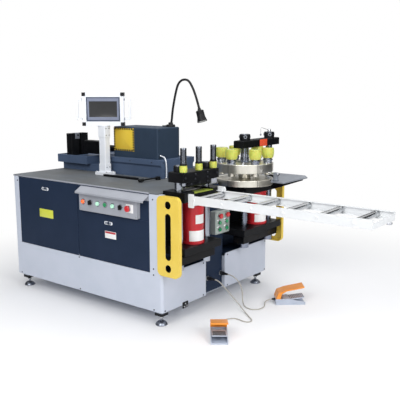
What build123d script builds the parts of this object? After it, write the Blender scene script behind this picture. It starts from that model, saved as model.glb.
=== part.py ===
from build123d import *
import os
from math import cos, pi, radians, sin, tan

os.makedirs("parts", exist_ok=True)

# Busbar processing machine, in millimetres.
# +X runs along the front to the conveyor, +Y to the back, +Z up, floor at Z 0.
# Lengths named _Y or _X are taken from the cabinet's front face or left end.

# Cabinet
CABINET_L = 1540.0
CABINET_H = 785.0
FLOOR_GAP = 105.0
SHEET = 4.0
CORNER_R = 20.0
PLINTH_H = 261.0
LEFT_POST_W = 70.0
RIGHT_POST_W = 103.0
SIDE_POST_W = 40.0
TOP_FLANGE = 36.0
JAMB_DEPTH = 34.0
NOTCH_W = 230.0
NOTCH_SIDE = 19.0
NOTCH_R = 20.0
TABLE_SET = 32.0
TABLE_T = 10.0

# Doors, front header and end panel
DOOR_T = 12.0
DOOR_GAP = 1.0
DOOR_SKIN = 3.0
DOOR_RIM = 18.0
DOOR_SEAM_X = 746.0
HINGE_TAB_T = 3.0
HINGE_PIN_D = 8.0
HEADER_H = 180.0
LOCK_D = 26.0
LOCK_BARREL_D = 18.0
LOCK_FACE_T = 3.0
LEFT_LOCK_X = 390.0
RIGHT_LOCK_X = 1060.0
LOCK_DROP = 58.0
BAY_DEPTH = 136.0
PANEL_RECESS = 26.0

# Yellow side guards
GUARD_REACH = 150.0
GUARD_LAP = 33.0
GUARD_T = 6.0
GUARD_R = 38.0
GUARD_RIM = 22.0
GUARD_SLOT_W = 51.0
GUARD_SLOT_EDGE = 109.5
GUARD_HOLE_EDGE = 55.5

# Levelling feet
FOOT_D = 82.0
FOOT_RIM_H = 6.0
FOOT_H = 30.0
FOOT_NECK_D = 24.0
FOOT_STUD_D = 16.0
FOOT_PLATE_W = 65.0
FOOT_PLATE_T = 20.0
FOOT_INSET = 62.0

# Control box under the table edge
CONTROL_X = 800.0
CONTROL_L = 557.0
CONTROL_H = 128.0
CONTROL_DROP = 46.0
CONTROL_T = 30.0
HOOD_REACH = 60.0
HOOD_L = 647.0
HOOD_DROP = 35.0
HOOD_LIP = 12.0
HOOD_T = 3.0
CONTROLS = 7
CONTROL_FIRST = 45.0
CONTROL_PITCH = 73.0
CONTROL_RISE = 65.0
BEZEL_D = 38.0
BEZEL_H = 5.0
BUTTON_D = 27.0
BUTTON_H = 8.0
BUTTON_TRAVEL = 5.0
LENS_D = 30.0
LENS_H = 13.0
KNOB_D = 30.0
KNOB_H = 20.0
KNOB_GRIP_W = 9.0
MUSHROOM_D = 42.0
MUSHROOM_H = 20.0
STEM_D = 16.0
STEM_L = 18.0

# Button box on the recessed end panel
BOX_INSET = 59.0
BOX_DROP = 274.0
BOX_W = 172.0
BOX_H = 166.0
BOX_T = 46.0
BOX_R = 6.0
BOX_COLUMN_PITCH = 84.0
BOX_ROW_PITCH = 49.0
BOX_BUTTON_D = 26.0
BOX_BUTTON_H = 10.0
BOX_STOP_D = 38.0
BOX_STOP_H = 22.0
BOX_BEZEL_D = 34.0

# Press units on the end: common sizes
UNIT_REACH = 56.0
BED_T = 48.0
BED_RISE = 136.0
UPRIGHT_T = 36.0
CYLINDER_D = 148.0
CYLINDER_RING_D = 158.0
CYLINDER_RING_H = 18.0
RAM_D = 56.0
CROSSHEAD_W = 90.0
CROSSHEAD_H = 50.0
CROSSHEAD_DROP = 72.0
BEAM_EDGE = 4.0
RUN_FIT = 0.05
FREE_FIT = 0.5

# Cutting unit
CUT_SIDE = 9.0
CUT_PITCH = 286.0
CUT_COLUMN_D = 55.0
CUT_STROKE = 26.0
CUT_DECK_W = 394.0
CUT_DECK_DROP = 50.0
CUT_DECK_T = 35.0
CUT_CHEEK_H = 27.0
TABLE_GAP = 2.0
THROAT_W = 200.0
PASS_RISE = 2.0
BLADE_T = 20.0
BLADE_GAP = 22.0
BLADE_SLOPE = 8.0
BLADE_DEPTH = 27.0
SHEAR_GAP = 0.3
PAD_L = 66.0
CUT_BEAM_W = 376.0
CUT_BEAM_FRONT = 76.0
CUT_BEAM_BACK = 48.0
CUT_BEAM_H = 65.0
CUT_BEAM_RISE = 71.0
CUT_NUT_D = 62.0
CUT_NUT_H = 39.0
POST_OUT = 52.0
POST_PITCH = 157.0
POST_D = 38.0
POST_H = 98.0
POST_ROD_D = 20.0
CUT_SPRING_D = 44.0
CUT_SPRING_H = 56.0

# Punching unit and its turret
PUNCH_SIDE = 28.0
STATION_R = 167.5
PUNCH_COLUMN_D = 50.0
PUNCH_STROKE = 30.0
PUNCH_DECK_DROP = 90.0
PUNCH_DECK_T = 58.0
PUNCH_DECK_FRONT = 104.0
PUNCH_DECK_NEAR = 130.0
PUNCH_DECK_FAR = 39.0
PUNCH_BEAM_W = 80.0
PUNCH_BEAM_END = 85.0
CROSSHEAD_END = 67.0
PUNCH_BEAM_H = 53.0
PUNCH_NUT_D = 76.0
PUNCH_NUT_H = 44.0
STATIONS = 6
DISC_D = 418.0
DIE_DISC_H = 45.0
TURRET_LIFT = 4.0
DISC_GAP = 50.0
PUNCH_DISC_H = 63.0
SLEEVE_D = 90.0
DIE_HOLE_D = 30.0
NOSE_D = 52.0
NOSE_H = 25.0
PUNCH_D = 28.0
PUNCH_STEM_D = 40.0
SEAT_H = 22.0
SEAT_D = 72.0
SEAT_NECK_D = 54.0
PU_SPRING_D = 86.0
PU_SPRING_H = 72.0
CAP_D = 78.0
CAP_H = 11.0
THRUST_GAP = 0.3
PLATE_NEAR_X = 292.5
PLATE_NEAR = 111.0
PLATE_RIGHT = 396.5
PLATE_CUT_X = 63.0
PLATE_CUT_Y = 81.0
PLATE_FAR_X = 81.5
PLATE_FAR = 307.0
PLATE_T = 8.0
PLATE_GAP = 14.0
ARM_W = 60.0
ARM_FAR = 40.0
ARM_L = 220.0

# Roller conveyor
CONVEYOR_L = 1205.0
CONVEYOR_W = 318.0
RAIL_H = 50.0
RAIL_T = 4.0
RAIL_FLANGE = 22.0
RAIL_DROP = 10.0
END_PLATE_H = 88.0
END_PLATE_RISE = 16.0
END_PLATE_L = 46.0
ROLLERS = 6
ROLLER_D = 38.0
ROLLER_FIRST = 42.0
ROLLER_PITCH = 212.0
ROLLER_SINK = 4.5
ROLLER_PIN_D = 12.0
ROLLER_END_GAP = 3.0
CROSS_H = 34.0
KNOB_DROP = 26.0
KNOB_STEM_D = 12.0
END_KNOB_D = 26.0

# Bending unit
BED_X = 2.0
BEND_BED_L = 1102.0
BEND_BED_Y = 505.0
BEND_BED_W = 370.0
BEND_BOX_H = 85.0
LEDGE_H = 51.0
LEDGE_FLARE = 15.0
LEDGE_STEP_L = 197.5
LEDGE_STEP_W = 123.0
BEND_WALL = 15.0
TRAY_OVERHANG = 20.0
TRAY_L = 360.0
TRAY_Y = 460.0
TRAY_W = 440.0
TRAY_RISE = 58.0
TRAY_H = 64.0
TRAY_RIM = 14.0
TRAY_DIP = 8.0
DIE_X = 73.0
DIE_L = 65.0
DIE_W = 180.0
DIE_H = 181.0
DIE_SLOT_W = 26.0
DIE_SLOT_DEPTH = 18.0
RAM_Y = 575.0
FORMER_GAP = 70.0
FORMER_L = 212.0
FORMER_W = 76.0
FORMER_H = 104.0
FORMER_LIFT = 2.0
BEND_ROD_D = 50.0
BEND_ROD_L = 330.0
BEND_STROKE = 60.0
BEND_HOOD_X = 587.0
BEND_HOOD_L = 461.0
BEND_HOOD_Y = 525.0
BEND_HOOD_W = 256.0
BEND_HOOD_H = 234.0
BEND_HOOD_R = 10.0
BEND_HOOD_MOUTH = 8.0
BARREL_D = 80.0
BARREL_L = 380.0
BARREL_FOOT_W = 60.0

# Gauge bar and stop lever on the table
GAUGE_X = 642.5
GAUGE_L = 402.5
GAUGE_Y = 366.0
GAUGE_W = 25.0
GAUGE_H = 15.0
GAUGE_STEP_L = 56.0
GAUGE_STEP_H = 7.0
PIVOT_X = 1105.0
PIVOT_Y = 462.0
PIVOT_D = 40.0
PIVOT_H = 8.0
PIVOT_PIN_D = 14.0
LEVER_HUB_D = 34.0
LEVER_HUB_H = 16.0
LEVER_ROD_D = 12.0
LEVER_L = 205.0
LEVER_GRIP_D = 24.0
LEVER_GRIP_L = 46.0

# Operator terminal
TERMINAL_X = 585.0
TERMINAL_Y = 430.0
TERMINAL_TURN = 37.8
MAST_W = 65.0
MAST_D = 55.0
MAST_WALL_R = 6.0
MAST_H = 378.0
MAST_FLANGE_W = 130.0
MAST_FLANGE_D = 100.0
MAST_FLANGE_T = 22.0
MAST_SLEEVE = 8.0
MAST_SLEEVE_H = 63.0
MAST_HEAD_H = 88.0
MAST_PIN_D = 30.0
MAST_PIN_H = 26.0
SCREEN_W = 314.0
SCREEN_H = 251.0
SCREEN_T = 55.0
SCREEN_R = 8.0
SCREEN_LIFT = 0.3
SCREEN_WINDOW_W = 236.0
SCREEN_WINDOW_H = 178.0
SCREEN_RECESS = 5.0
CORNER_BLOCK = 26.0
CORNER_PROUD = 3.0
HANDLE_H = 165.0
HANDLE_REACH = 44.0
HANDLE_D = 16.0

# Work lamp on the bending hood
LAMP_X = 985.0
LAMP_Y = 738.0
LAMP_BASE_D = 70.0
LAMP_BASE_H = 18.0
LAMP_NECK_D = 18.0
LAMP_HEAD_L = 118.0
LAMP_HEAD_TOP_D = 36.0
LAMP_HEAD_D = 74.0

# Hydraulic unit inside the cabinet
TANK_X = 180.0
TANK_Y = 560.0
TANK_L = 620.0
TANK_W = 480.0
TANK_H = 330.0
TANK_R = 25.0
TANK_LID_T = 12.0
TANK_LID_LIP = 14.0
GASKET_T = 0.3
MOTOR_D = 190.0
MOTOR_H = 260.0
MOTOR_INSET = 170.0
PUMP_W = 130.0
PUMP_H = 120.0

# Foot pedals and their cords
PEDAL_L = 215.0
PEDAL_W = 108.0
PEDAL_BASE_T = 10.0
PEDAL_BACK_H = 44.0
PEDAL_BACK_L = 34.0
PEDAL_CHEEK_T = 6.0
PEDAL_CHEEK_L = 92.0
PEDAL_HOOD_RISE = 92.0
PEDAL_HOOD_BACK = 74.0
PEDAL_VISOR_T = 9.0
TREADLE_GAP = 0.4
TREADLE_T = 7.0
TREADLE_HINGE_X = 62.0
TREADLE_HINGE_Z = 30.0
TREADLE_RISE = 20.0
TREADLE_BARREL_D = 14.0
TREADLE_PIN_D = 6.0
CUT_PEDAL_X = 1851.0
CUT_PEDAL_Y = 197.0
CUT_PEDAL_TURN = -52.2
PUNCH_PEDAL_X = 1856.0
PUNCH_PEDAL_Y = 898.0
PUNCH_PEDAL_TURN = 40.0
CORD_D = 8.0
CORD_ENTRY_Z = 28.0
CORD_ENTRY_L = 40.0
CONNECTOR_L = 68.0
CONNECTOR_FLANGE_D = 34.0
CONNECTOR_NUT_D = 27.0
CONNECTOR_TAIL_D = 13.0
CUT_CONNECTOR_INSET = 52.0
CUT_CONNECTOR_Z = 216.0
PUNCH_CONNECTOR_INSET = 20.0
PUNCH_CONNECTOR_Z = 218.0

# Routes of the two cords over the floor, from the cabinet's front-left corner
CUT_CORD_ROUTE = (
    (1609, 522, 216), (1636, 536, 186), (1661, 566, 138), (1684, 602, 86), (1721, 616, 42),
    (1777, 595, 14), (1836, 555, 5), (1885, 516, 4.5), (1916, 494, 4.5), (1932, 464, 4.5),
    (1916, 436, 4.5), (1884, 432, 4.5), (1842, 444, 4.5), (1803, 440, 4.5), (1778, 408, 4.5),
    (1768, 362, 4.5), (1774, 314, 5), (1795, 270, 13),
)
PUNCH_CORD_ROUTE = (
    (1610, 680, 218), (1642, 687, 202), (1667, 702, 170), (1675, 722, 128), (1674, 736, 86),
    (1676, 736, 48), (1692, 716, 20), (1722, 688, 6), (1762, 664, 4.5), (1808, 656, 4.5),
    (1842, 684, 4.5), (1853, 730, 4.5), (1843, 776, 4.5), (1824, 806, 5), (1808, 834, 12),
)

# Places worked out from the sizes above: the two press units side by side set the cabinet's width
CABINET_W = (2 * SIDE_POST_W + 4 * SHEET + CUT_SIDE + CUT_DECK_W + NOTCH_SIDE + NOTCH_W
             + PUNCH_SIDE + PUNCH_DECK_NEAR + 2 * STATION_R + PUNCH_DECK_FAR)
TABLE_L = CABINET_L - TABLE_SET
X_LEFT = -(CABINET_L + GUARD_REACH + CONVEYOR_L - TRAY_OVERHANG) / 2
X_END = X_LEFT + CABINET_L
X_FACE = X_END + GUARD_REACH
X_MID = X_LEFT + CABINET_L / 2
Y_FRONT = -(CABINET_W + GUARD_T - HOOD_REACH) / 2
Y_BACK = Y_FRONT + CABINET_W
Y_MID = Y_FRONT + CABINET_W / 2
Z_TOP = FLOOR_GAP + CABINET_H
Z_TABLE = Z_TOP + TABLE_T
Z_PLINTH = FLOOR_GAP + PLINTH_H
X_OPEN = X_LEFT + LEFT_POST_W
X_SHUT = X_END - RIGHT_POST_W
X_SEAM = X_LEFT + DOOR_SEAM_X
Z_HEADER = Z_TOP - SHEET - HEADER_H
HINGE_Y = Y_FRONT + DOOR_T / 2
HINGE_Z = Z_PLINTH + DOOR_GAP + DOOR_T / 2
X_BAY = X_END - BAY_DEPTH
X_PANEL = X_END - PANEL_RECESS
Y_BAY = Y_FRONT + SIDE_POST_W + SHEET
Y_BAY_END = Y_BACK - SIDE_POST_W - SHEET
UNIT_X = X_END + UNIT_REACH
CUT_NEAR = Y_BAY + CUT_SIDE
CUT_FAR = CUT_NEAR + CUT_DECK_W
CUT_AXIS = CUT_NEAR + CUT_DECK_W / 2
Y_NOTCH = CUT_FAR + NOTCH_SIDE + SHEET
Y_NOTCH_END = Y_NOTCH + NOTCH_W
PUNCH_NEAR = Y_NOTCH_END + SHEET + PUNCH_SIDE
TURRET_AXIS = PUNCH_NEAR + PUNCH_DECK_NEAR
PUNCH_AXIS = TURRET_AXIS + STATION_R
FAR_COLUMN = PUNCH_AXIS + STATION_R
PUNCH_FAR = FAR_COLUMN + PUNCH_DECK_FAR
BED_Z = Z_PLINTH + BED_RISE
BED_TOP = BED_Z + BED_T
CROSSHEAD_Z = BED_Z - CROSSHEAD_DROP
CROSSHEAD_TOP = CROSSHEAD_Z + CROSSHEAD_H
CUT_DECK_Z = Z_TABLE - CUT_DECK_DROP
CUT_BEAM_Z = Z_TABLE + CUT_BEAM_RISE
PUNCH_DECK_Z = Z_TABLE - PUNCH_DECK_DROP
PASS_Z = Z_TABLE + PASS_RISE
CUT_SLAB_TOP = CUT_DECK_Z + CUT_DECK_T
CUT_BEAM_TOP = CUT_BEAM_Z + CUT_BEAM_H
BLADE_TIP = PASS_Z + BLADE_GAP
PUNCH_DECK_TOP = PUNCH_DECK_Z + PUNCH_DECK_T
DIE_Z = PUNCH_DECK_TOP + TURRET_LIFT
DIE_TOP = DIE_Z + DIE_DISC_H
PUNCH_DISC_Z = DIE_TOP + DISC_GAP
PUNCH_DISC_TOP = PUNCH_DISC_Z + PUNCH_DISC_H
NOSE_Z = PUNCH_DISC_Z - NOSE_H
SEAT_TOP = PUNCH_DISC_TOP + SEAT_H
SPRING_TOP = SEAT_TOP + PU_SPRING_H
CAP_TOP = SPRING_TOP + CAP_H
PUNCH_BEAM_Z = CAP_TOP + THRUST_GAP
PUNCH_BEAM_TOP = PUNCH_BEAM_Z + PUNCH_BEAM_H
RAIL_TOP = Z_TABLE - RAIL_DROP
ROLLER_Z = RAIL_TOP - ROLLER_SINK - ROLLER_D / 2
RAIL_Z = RAIL_TOP - RAIL_H
NEAR_RAIL = CUT_AXIS - CONVEYOR_W / 2
FAR_RAIL = CUT_AXIS + CONVEYOR_W / 2
LEDGE_Z = Z_TABLE + BEND_BOX_H
LEDGE_TOP = LEDGE_Z + LEDGE_H
TRAY_Z = Z_TABLE + TRAY_RISE
TRAY_TOP = TRAY_Z + TRAY_H
TRAY_FLOOR = TRAY_TOP - TRAY_DIP
TRAY_LEFT = X_LEFT - TRAY_OVERHANG
TRAY_RIGHT = TRAY_LEFT + TRAY_L
DIE_RIGHT = X_LEFT + DIE_X + DIE_L
RAM_AXIS_Y = Y_FRONT + RAM_Y
FORMER_Z = LEDGE_TOP + FORMER_LIFT
RAM_AXIS_Z = FORMER_Z + FORMER_H / 2
FORMER_RIGHT = DIE_RIGHT + FORMER_GAP + FORMER_L
BEND_HOOD_LEFT = X_LEFT + BEND_HOOD_X
BEND_HOOD_TOP = LEDGE_TOP + BEND_HOOD_H
BARREL_LEFT = BEND_HOOD_LEFT + SHEET + BEND_HOOD_MOUTH


def block(x0, x1, y0, y1, z0, z1, mode=Mode.ADD):
    """A rectangular block between two corners."""
    with Locations(((x0 + x1) / 2, (y0 + y1) / 2, (z0 + z1) / 2)):
        Box(x1 - x0, y1 - y0, z1 - z0, mode=mode)


def upright_bar(x, y, z0, z1, diameter, mode=Mode.ADD):
    """A round bar or bore that stands on end."""
    with Locations((x, y, (z0 + z1) / 2)):
        Cylinder(diameter / 2, z1 - z0, mode=mode)


def along_x(x0, x1, y, z, diameter, mode=Mode.ADD):
    """A round bar or bore along X."""
    with Locations(Location(((x0 + x1) / 2, y, z), (0, 90, 0))):
        Cylinder(diameter / 2, x1 - x0, mode=mode)


def along_y(x, y0, y1, z, diameter, mode=Mode.ADD):
    """A round bar or bore along Y."""
    with Locations(Location((x, (y0 + y1) / 2, z), (90, 0, 0))):
        Cylinder(diameter / 2, y1 - y0, mode=mode)


nodes = {}

# Cabinet shell: a folded sheet box with plinth, posts and an inward flange under the table
with BuildPart() as cabinet_shell:
    with BuildSketch(Plane.XY.offset(FLOOR_GAP)):
        with Locations((X_MID, Y_MID)):
            RectangleRounded(CABINET_L, CABINET_W, CORNER_R)
    extrude(amount=CABINET_H)
    with BuildSketch(Plane.XY.offset(FLOOR_GAP + SHEET)):
        with Locations((X_MID, Y_MID)):
            RectangleRounded(CABINET_L - 2 * SHEET, CABINET_W - 2 * SHEET, CORNER_R - SHEET)
    extrude(amount=CABINET_H - 2 * SHEET, mode=Mode.SUBTRACT)
    with BuildSketch(Plane.XY.offset(Z_TOP - SHEET)):
        with Locations((X_MID, Y_MID)):
            RectangleRounded(CABINET_L - 2 * TOP_FLANGE, CABINET_W - 2 * TOP_FLANGE, CORNER_R)
    extrude(amount=SHEET, mode=Mode.SUBTRACT)
    block(X_OPEN, X_SHUT, Y_FRONT, Y_FRONT + SHEET, Z_PLINTH, Z_TOP - SHEET, Mode.SUBTRACT)
    block(X_END - TOP_FLANGE, X_END, Y_BAY - SHEET, Y_BAY_END + SHEET, Z_PLINTH, Z_TOP, Mode.SUBTRACT)
    block(X_PANEL, X_END, Y_NOTCH, Y_NOTCH_END, FLOOR_GAP, Z_PLINTH, Mode.SUBTRACT)
    notch_corners = cabinet_shell.edges().filter_by(Axis.X).filter_by_position(
        Axis.Z, Z_PLINTH - RUN_FIT, Z_PLINTH + RUN_FIT).filter_by_position(
        Axis.Y, Y_NOTCH - RUN_FIT, Y_NOTCH_END + RUN_FIT).filter_by_position(Axis.X, X_END - SHEET, X_END)
    fillet(notch_corners, NOTCH_R)
    block(X_PANEL, X_END - SHEET, Y_NOTCH - SHEET, Y_NOTCH, FLOOR_GAP, Z_PLINTH - NOTCH_R)
    block(X_PANEL, X_END - SHEET, Y_NOTCH_END, Y_NOTCH_END + SHEET, FLOOR_GAP, Z_PLINTH - NOTCH_R)
    block(X_OPEN - SHEET, X_OPEN, Y_FRONT, Y_FRONT + JAMB_DEPTH, Z_PLINTH - SHEET, Z_TOP - SHEET)
    block(X_SHUT, X_SHUT + SHEET, Y_FRONT, Y_FRONT + JAMB_DEPTH, Z_PLINTH - SHEET, Z_TOP - SHEET)
    block(X_OPEN, X_SHUT, Y_FRONT, Y_FRONT + JAMB_DEPTH, Z_PLINTH - SHEET, Z_PLINTH)
    block(X_SEAM - HINGE_TAB_T / 2, X_SEAM + HINGE_TAB_T / 2, Y_FRONT, Y_FRONT + DOOR_T,
          Z_PLINTH, HINGE_Z + DOOR_T / 2)
    along_x(X_OPEN - SHEET, X_SHUT + SHEET, HINGE_Y, HINGE_Z, HINGE_PIN_D + 2 * RUN_FIT, Mode.SUBTRACT)
    # Welded seams: floor pan, plinth, walls and posts, and the flange are separate sheets
    for seam_z in (FLOOR_GAP + SHEET, Z_PLINTH, Z_TOP - SHEET):
        split(bisect_by=Plane.XY.offset(seam_z), keep=Keep.BOTH)
    for seam_y in (Y_FRONT + SIDE_POST_W, Y_BACK - SIDE_POST_W):
        split(bisect_by=Plane.XZ.offset(-seam_y), keep=Keep.BOTH)
nodes["cabinet_shell"] = cabinet_shell

# Table top, notched round the turret
with BuildPart() as table_top:
    with BuildSketch(Plane.XY.offset(Z_TOP)):
        with Locations((X_LEFT + TABLE_L / 2, Y_MID)):
            RectangleRounded(TABLE_L, CABINET_W, CORNER_R / 2)
        with Locations((UNIT_X, TURRET_AXIS)):
            Circle(DISC_D / 2 + PLATE_GAP, mode=Mode.SUBTRACT)
    extrude(amount=TABLE_T)
    chamfer(table_top.faces().sort_by(Axis.Z)[-1].edges(), TABLE_T / 10)
nodes["table_top"] = table_top

# Fixed panels: the recessed end panel with its two bays, and the front header
with BuildPart() as fixed_panels:
    panel_top = Z_TOP - SHEET
    block(X_PANEL - SHEET, X_PANEL, Y_NOTCH, Y_NOTCH_END, FLOOR_GAP + SHEET, panel_top)
    for y0, y1 in ((Y_BAY, Y_NOTCH), (Y_NOTCH_END, Y_BAY_END)):
        block(X_BAY - SHEET, X_BAY, y0 - SHEET, y1 + SHEET, Z_PLINTH - SHEET, panel_top)
        block(X_BAY, X_END - SHEET, y0, y1, Z_PLINTH - SHEET, Z_PLINTH)
    for y in (Y_NOTCH, Y_NOTCH_END + SHEET):
        block(X_BAY - SHEET, X_PANEL, y - SHEET, y, Z_PLINTH - SHEET, panel_top)
    for y in (Y_BAY, Y_BAY_END + SHEET):
        block(X_BAY - SHEET, X_END - TOP_FLANGE, y - SHEET, y, Z_PLINTH - SHEET, panel_top)
    upright_bar(UNIT_X, TURRET_AXIS, PUNCH_DECK_TOP, Z_TOP, DISC_D + 2 * PLATE_GAP, Mode.SUBTRACT)
    block(X_SEAM + HINGE_TAB_T, X_SHUT, Y_FRONT, Y_FRONT + SHEET, Z_HEADER, panel_top)
    block(X_SEAM + HINGE_TAB_T, X_SHUT, Y_FRONT, Y_FRONT + DOOR_T, Z_HEADER, Z_HEADER + SHEET)
nodes["fixed_panels"] = fixed_panels

# Yellow side guards: flat plates with round corners, a slot, two holes and a rim turned inward
GUARD_H = Z_TOP - Z_PLINTH
guard_x = (X_END - GUARD_LAP + X_FACE) / 2
guard_z = (Z_PLINTH + Z_TOP) / 2
guard_profile = Plane(origin=(guard_x, 0, guard_z), x_dir=(1, 0, 0), z_dir=(0, -1, 0))
with BuildPart() as side_guards:
    with BuildSketch(guard_profile.offset(-Y_FRONT), guard_profile.offset(-Y_BACK - GUARD_T)):
        RectangleRounded(GUARD_LAP + GUARD_REACH, GUARD_H, GUARD_R)
        SlotOverall(GUARD_H - 2 * GUARD_SLOT_EDGE, GUARD_SLOT_W, rotation=90, mode=Mode.SUBTRACT)
        with GridLocations(0, GUARD_H - 2 * GUARD_HOLE_EDGE, 1, 2):
            Circle(GUARD_SLOT_W / 2, mode=Mode.SUBTRACT)
    extrude(amount=GUARD_T)
    with BuildSketch(guard_profile.offset(-Y_FRONT - GUARD_RIM), guard_profile.offset(-Y_BACK)):
        RectangleRounded(GUARD_LAP + GUARD_REACH, GUARD_H, GUARD_R)
        RectangleRounded(GUARD_LAP + GUARD_REACH - 2 * GUARD_T, GUARD_H - 2 * GUARD_T, GUARD_R - GUARD_T,
                         mode=Mode.SUBTRACT)
        with Locations((X_END + GUARD_T - guard_x, 0)):
            Rectangle(GUARD_LAP + GUARD_REACH, GUARD_H, align=(Align.MAX, Align.CENTER), mode=Mode.SUBTRACT)
    extrude(amount=GUARD_RIM)
nodes["side_guards"] = side_guards

# Levelling feet: domed pad and stud turned about the foot's axis, under a square plate
with BuildPart() as levelling_foot:
    with BuildSketch(Plane.XZ):
        with BuildLine():
            Polyline((FOOT_NECK_D / 2, FOOT_H), (FOOT_STUD_D / 2, FOOT_H),
                     (FOOT_STUD_D / 2, FLOOR_GAP - FOOT_PLATE_T), (0, FLOOR_GAP - FOOT_PLATE_T), (0, 0),
                     (FOOT_D / 2, 0), (FOOT_D / 2, FOOT_RIM_H))
            ThreePointArc((FOOT_D / 2, FOOT_RIM_H),
                          ((FOOT_D + FOOT_NECK_D) / 4 + FOOT_H / 10, (FOOT_H + FOOT_RIM_H) / 2 + FOOT_H / 10),
                          (FOOT_NECK_D / 2, FOOT_H))
        make_face()
    revolve(axis=Axis.Z)
    with BuildSketch(Plane.XY.offset(FLOOR_GAP - FOOT_PLATE_T)):
        RectangleRounded(FOOT_PLATE_W, FOOT_PLATE_W, FOOT_PLATE_T / 4)
    extrude(amount=FOOT_PLATE_T)
with BuildPart() as levelling_feet:
    with Locations((X_MID, Y_MID)):
        with GridLocations(CABINET_L - 2 * FOOT_INSET, CABINET_W - 2 * FOOT_INSET, 2, 2):
            add(levelling_foot.part)
nodes["levelling_feet"] = levelling_feet

# Control box with its sloping hood
CONTROL_LEFT = X_LEFT + CONTROL_X
CONTROL_TOP = Z_TOP - CONTROL_DROP
CONTROL_FACE = Y_FRONT - CONTROL_T
CONTROL_Z = CONTROL_TOP - CONTROL_H + CONTROL_RISE
control_x = [CONTROL_LEFT + CONTROL_FIRST + CONTROL_PITCH * place for place in range(CONTROLS)]
first_lamp, left_selector, second_lamp, green_button, third_lamp, right_selector, red_stop = control_x
hood_left = X_SHUT - HOOD_L
hood_top = Z_TOP - SHEET - DOOR_GAP
with BuildPart() as control_box:
    block(CONTROL_LEFT, CONTROL_LEFT + CONTROL_L, CONTROL_FACE, Y_FRONT,
          CONTROL_TOP - CONTROL_H, CONTROL_TOP)
    fillet(control_box.edges().filter_by(Axis.Y), BOX_R)
    with BuildSketch(Plane.YZ.offset(hood_left)):
        with BuildLine():
            Polyline(
                (Y_FRONT, CONTROL_TOP), (Y_FRONT, hood_top), (Y_FRONT - HOOD_REACH, hood_top - HOOD_DROP),
                (Y_FRONT - HOOD_REACH, hood_top - HOOD_DROP - HOOD_LIP),
                (Y_FRONT - HOOD_REACH + HOOD_T, hood_top - HOOD_DROP - HOOD_LIP),
                (Y_FRONT - HOOD_REACH + HOOD_T, hood_top - HOOD_DROP - HOOD_T / 2),
                (Y_FRONT - HOOD_T, hood_top - 2 * HOOD_T), (Y_FRONT - HOOD_T, CONTROL_TOP), close=True)
        make_face()
    extrude(amount=HOOD_L)
    for x in control_x:
        along_y(x, CONTROL_FACE - BEZEL_H, CONTROL_FACE, CONTROL_Z, BEZEL_D)
    for x in control_x:
        along_y(x, CONTROL_FACE - BEZEL_H, CONTROL_FACE + STEM_L + BUTTON_TRAVEL, CONTROL_Z,
                STEM_D + 2 * RUN_FIT, Mode.SUBTRACT)
    along_y(green_button, CONTROL_FACE - BEZEL_H, CONTROL_FACE, CONTROL_Z,
            BUTTON_D + 2 * FREE_FIT, Mode.SUBTRACT)
nodes["control_box"] = control_box

# Pilot lamp lenses: domed, on stems in the first, third and fifth places
control_front = CONTROL_FACE - BEZEL_H
with BuildPart() as lens:
    Cylinder(LENS_D / 2, LENS_H, align=(Align.CENTER, Align.CENTER, Align.MIN))
    fillet(lens.faces().sort_by(Axis.Z)[-1].edges(), LENS_H / 2)
    with Locations((0, 0, -BEZEL_H)):
        Cylinder(STEM_D / 2, BEZEL_H, align=(Align.CENTER, Align.CENTER, Align.MIN))
with BuildPart() as pilot_lamps:
    for x in (first_lamp, second_lamp, third_lamp):
        with Locations(Location((x, control_front, CONTROL_Z), (90, 0, 0))):
            add(lens.part)
nodes["pilot_lamps"] = pilot_lamps

# Selector switches: a round knob with a finger grip across it
with BuildPart() as selector:
    with Locations((0, 0, FREE_FIT)):
        Cylinder(KNOB_D / 2, KNOB_H / 2, align=(Align.CENTER, Align.CENTER, Align.MIN))
        Box(KNOB_GRIP_W, KNOB_D, KNOB_H, align=(Align.CENTER, Align.CENTER, Align.MIN))
    fillet(selector.faces().sort_by(Axis.Z)[-1].edges(), KNOB_GRIP_W / 4)
    with Locations((0, 0, -STEM_L)):
        Cylinder(STEM_D / 2, STEM_L + KNOB_H / 2, align=(Align.CENTER, Align.CENTER, Align.MIN))
for name, x in (("selector_left", left_selector), ("selector_right", right_selector)):
    with BuildPart() as selector_knob:
        with Locations(Location((x, control_front, CONTROL_Z), (90, 0, 0))):
            add(selector.part)
    nodes[name] = selector_knob

# Push button and emergency stop on the control box
with BuildPart() as push_button:
    button_foot = CONTROL_FACE - BUTTON_TRAVEL - FREE_FIT
    along_y(green_button, button_foot - BUTTON_H, button_foot, CONTROL_Z, BUTTON_D)
    fillet(push_button.faces().sort_by(Axis.Y)[0].edges(), BUTTON_H / 4)
    along_y(green_button, button_foot, CONTROL_FACE + STEM_L, CONTROL_Z, STEM_D)
nodes["push_button"] = push_button


def mushroom(diameter, height):
    """A mushroom button along +Z, its mounting face on the XY plane."""
    with BuildPart() as button:
        with Locations((0, 0, height * 3 / 4)):
            Cylinder(diameter / 2, height / 2)
        fillet(button.faces().sort_by(Axis.Z)[-1].edges(), height / 3)
        with Locations((0, 0, (height - STEM_L) / 2)):
            Cylinder(STEM_D / 2, height / 2 + STEM_L + height / 2)
        with Locations((0, 0, BUTTON_TRAVEL + FREE_FIT + height / 8)):
            Cone(STEM_D / 2, diameter / 3, height / 4)
    return button.part


stop_cap = mushroom(MUSHROOM_D, MUSHROOM_H)
box_stop_cap = mushroom(BOX_STOP_D, BOX_STOP_H)
with BuildPart() as emergency_stop:
    with Locations(Location((red_stop, control_front, CONTROL_Z), (90, 0, 0))):
        add(stop_cap)
nodes["emergency_stop"] = emergency_stop

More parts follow.
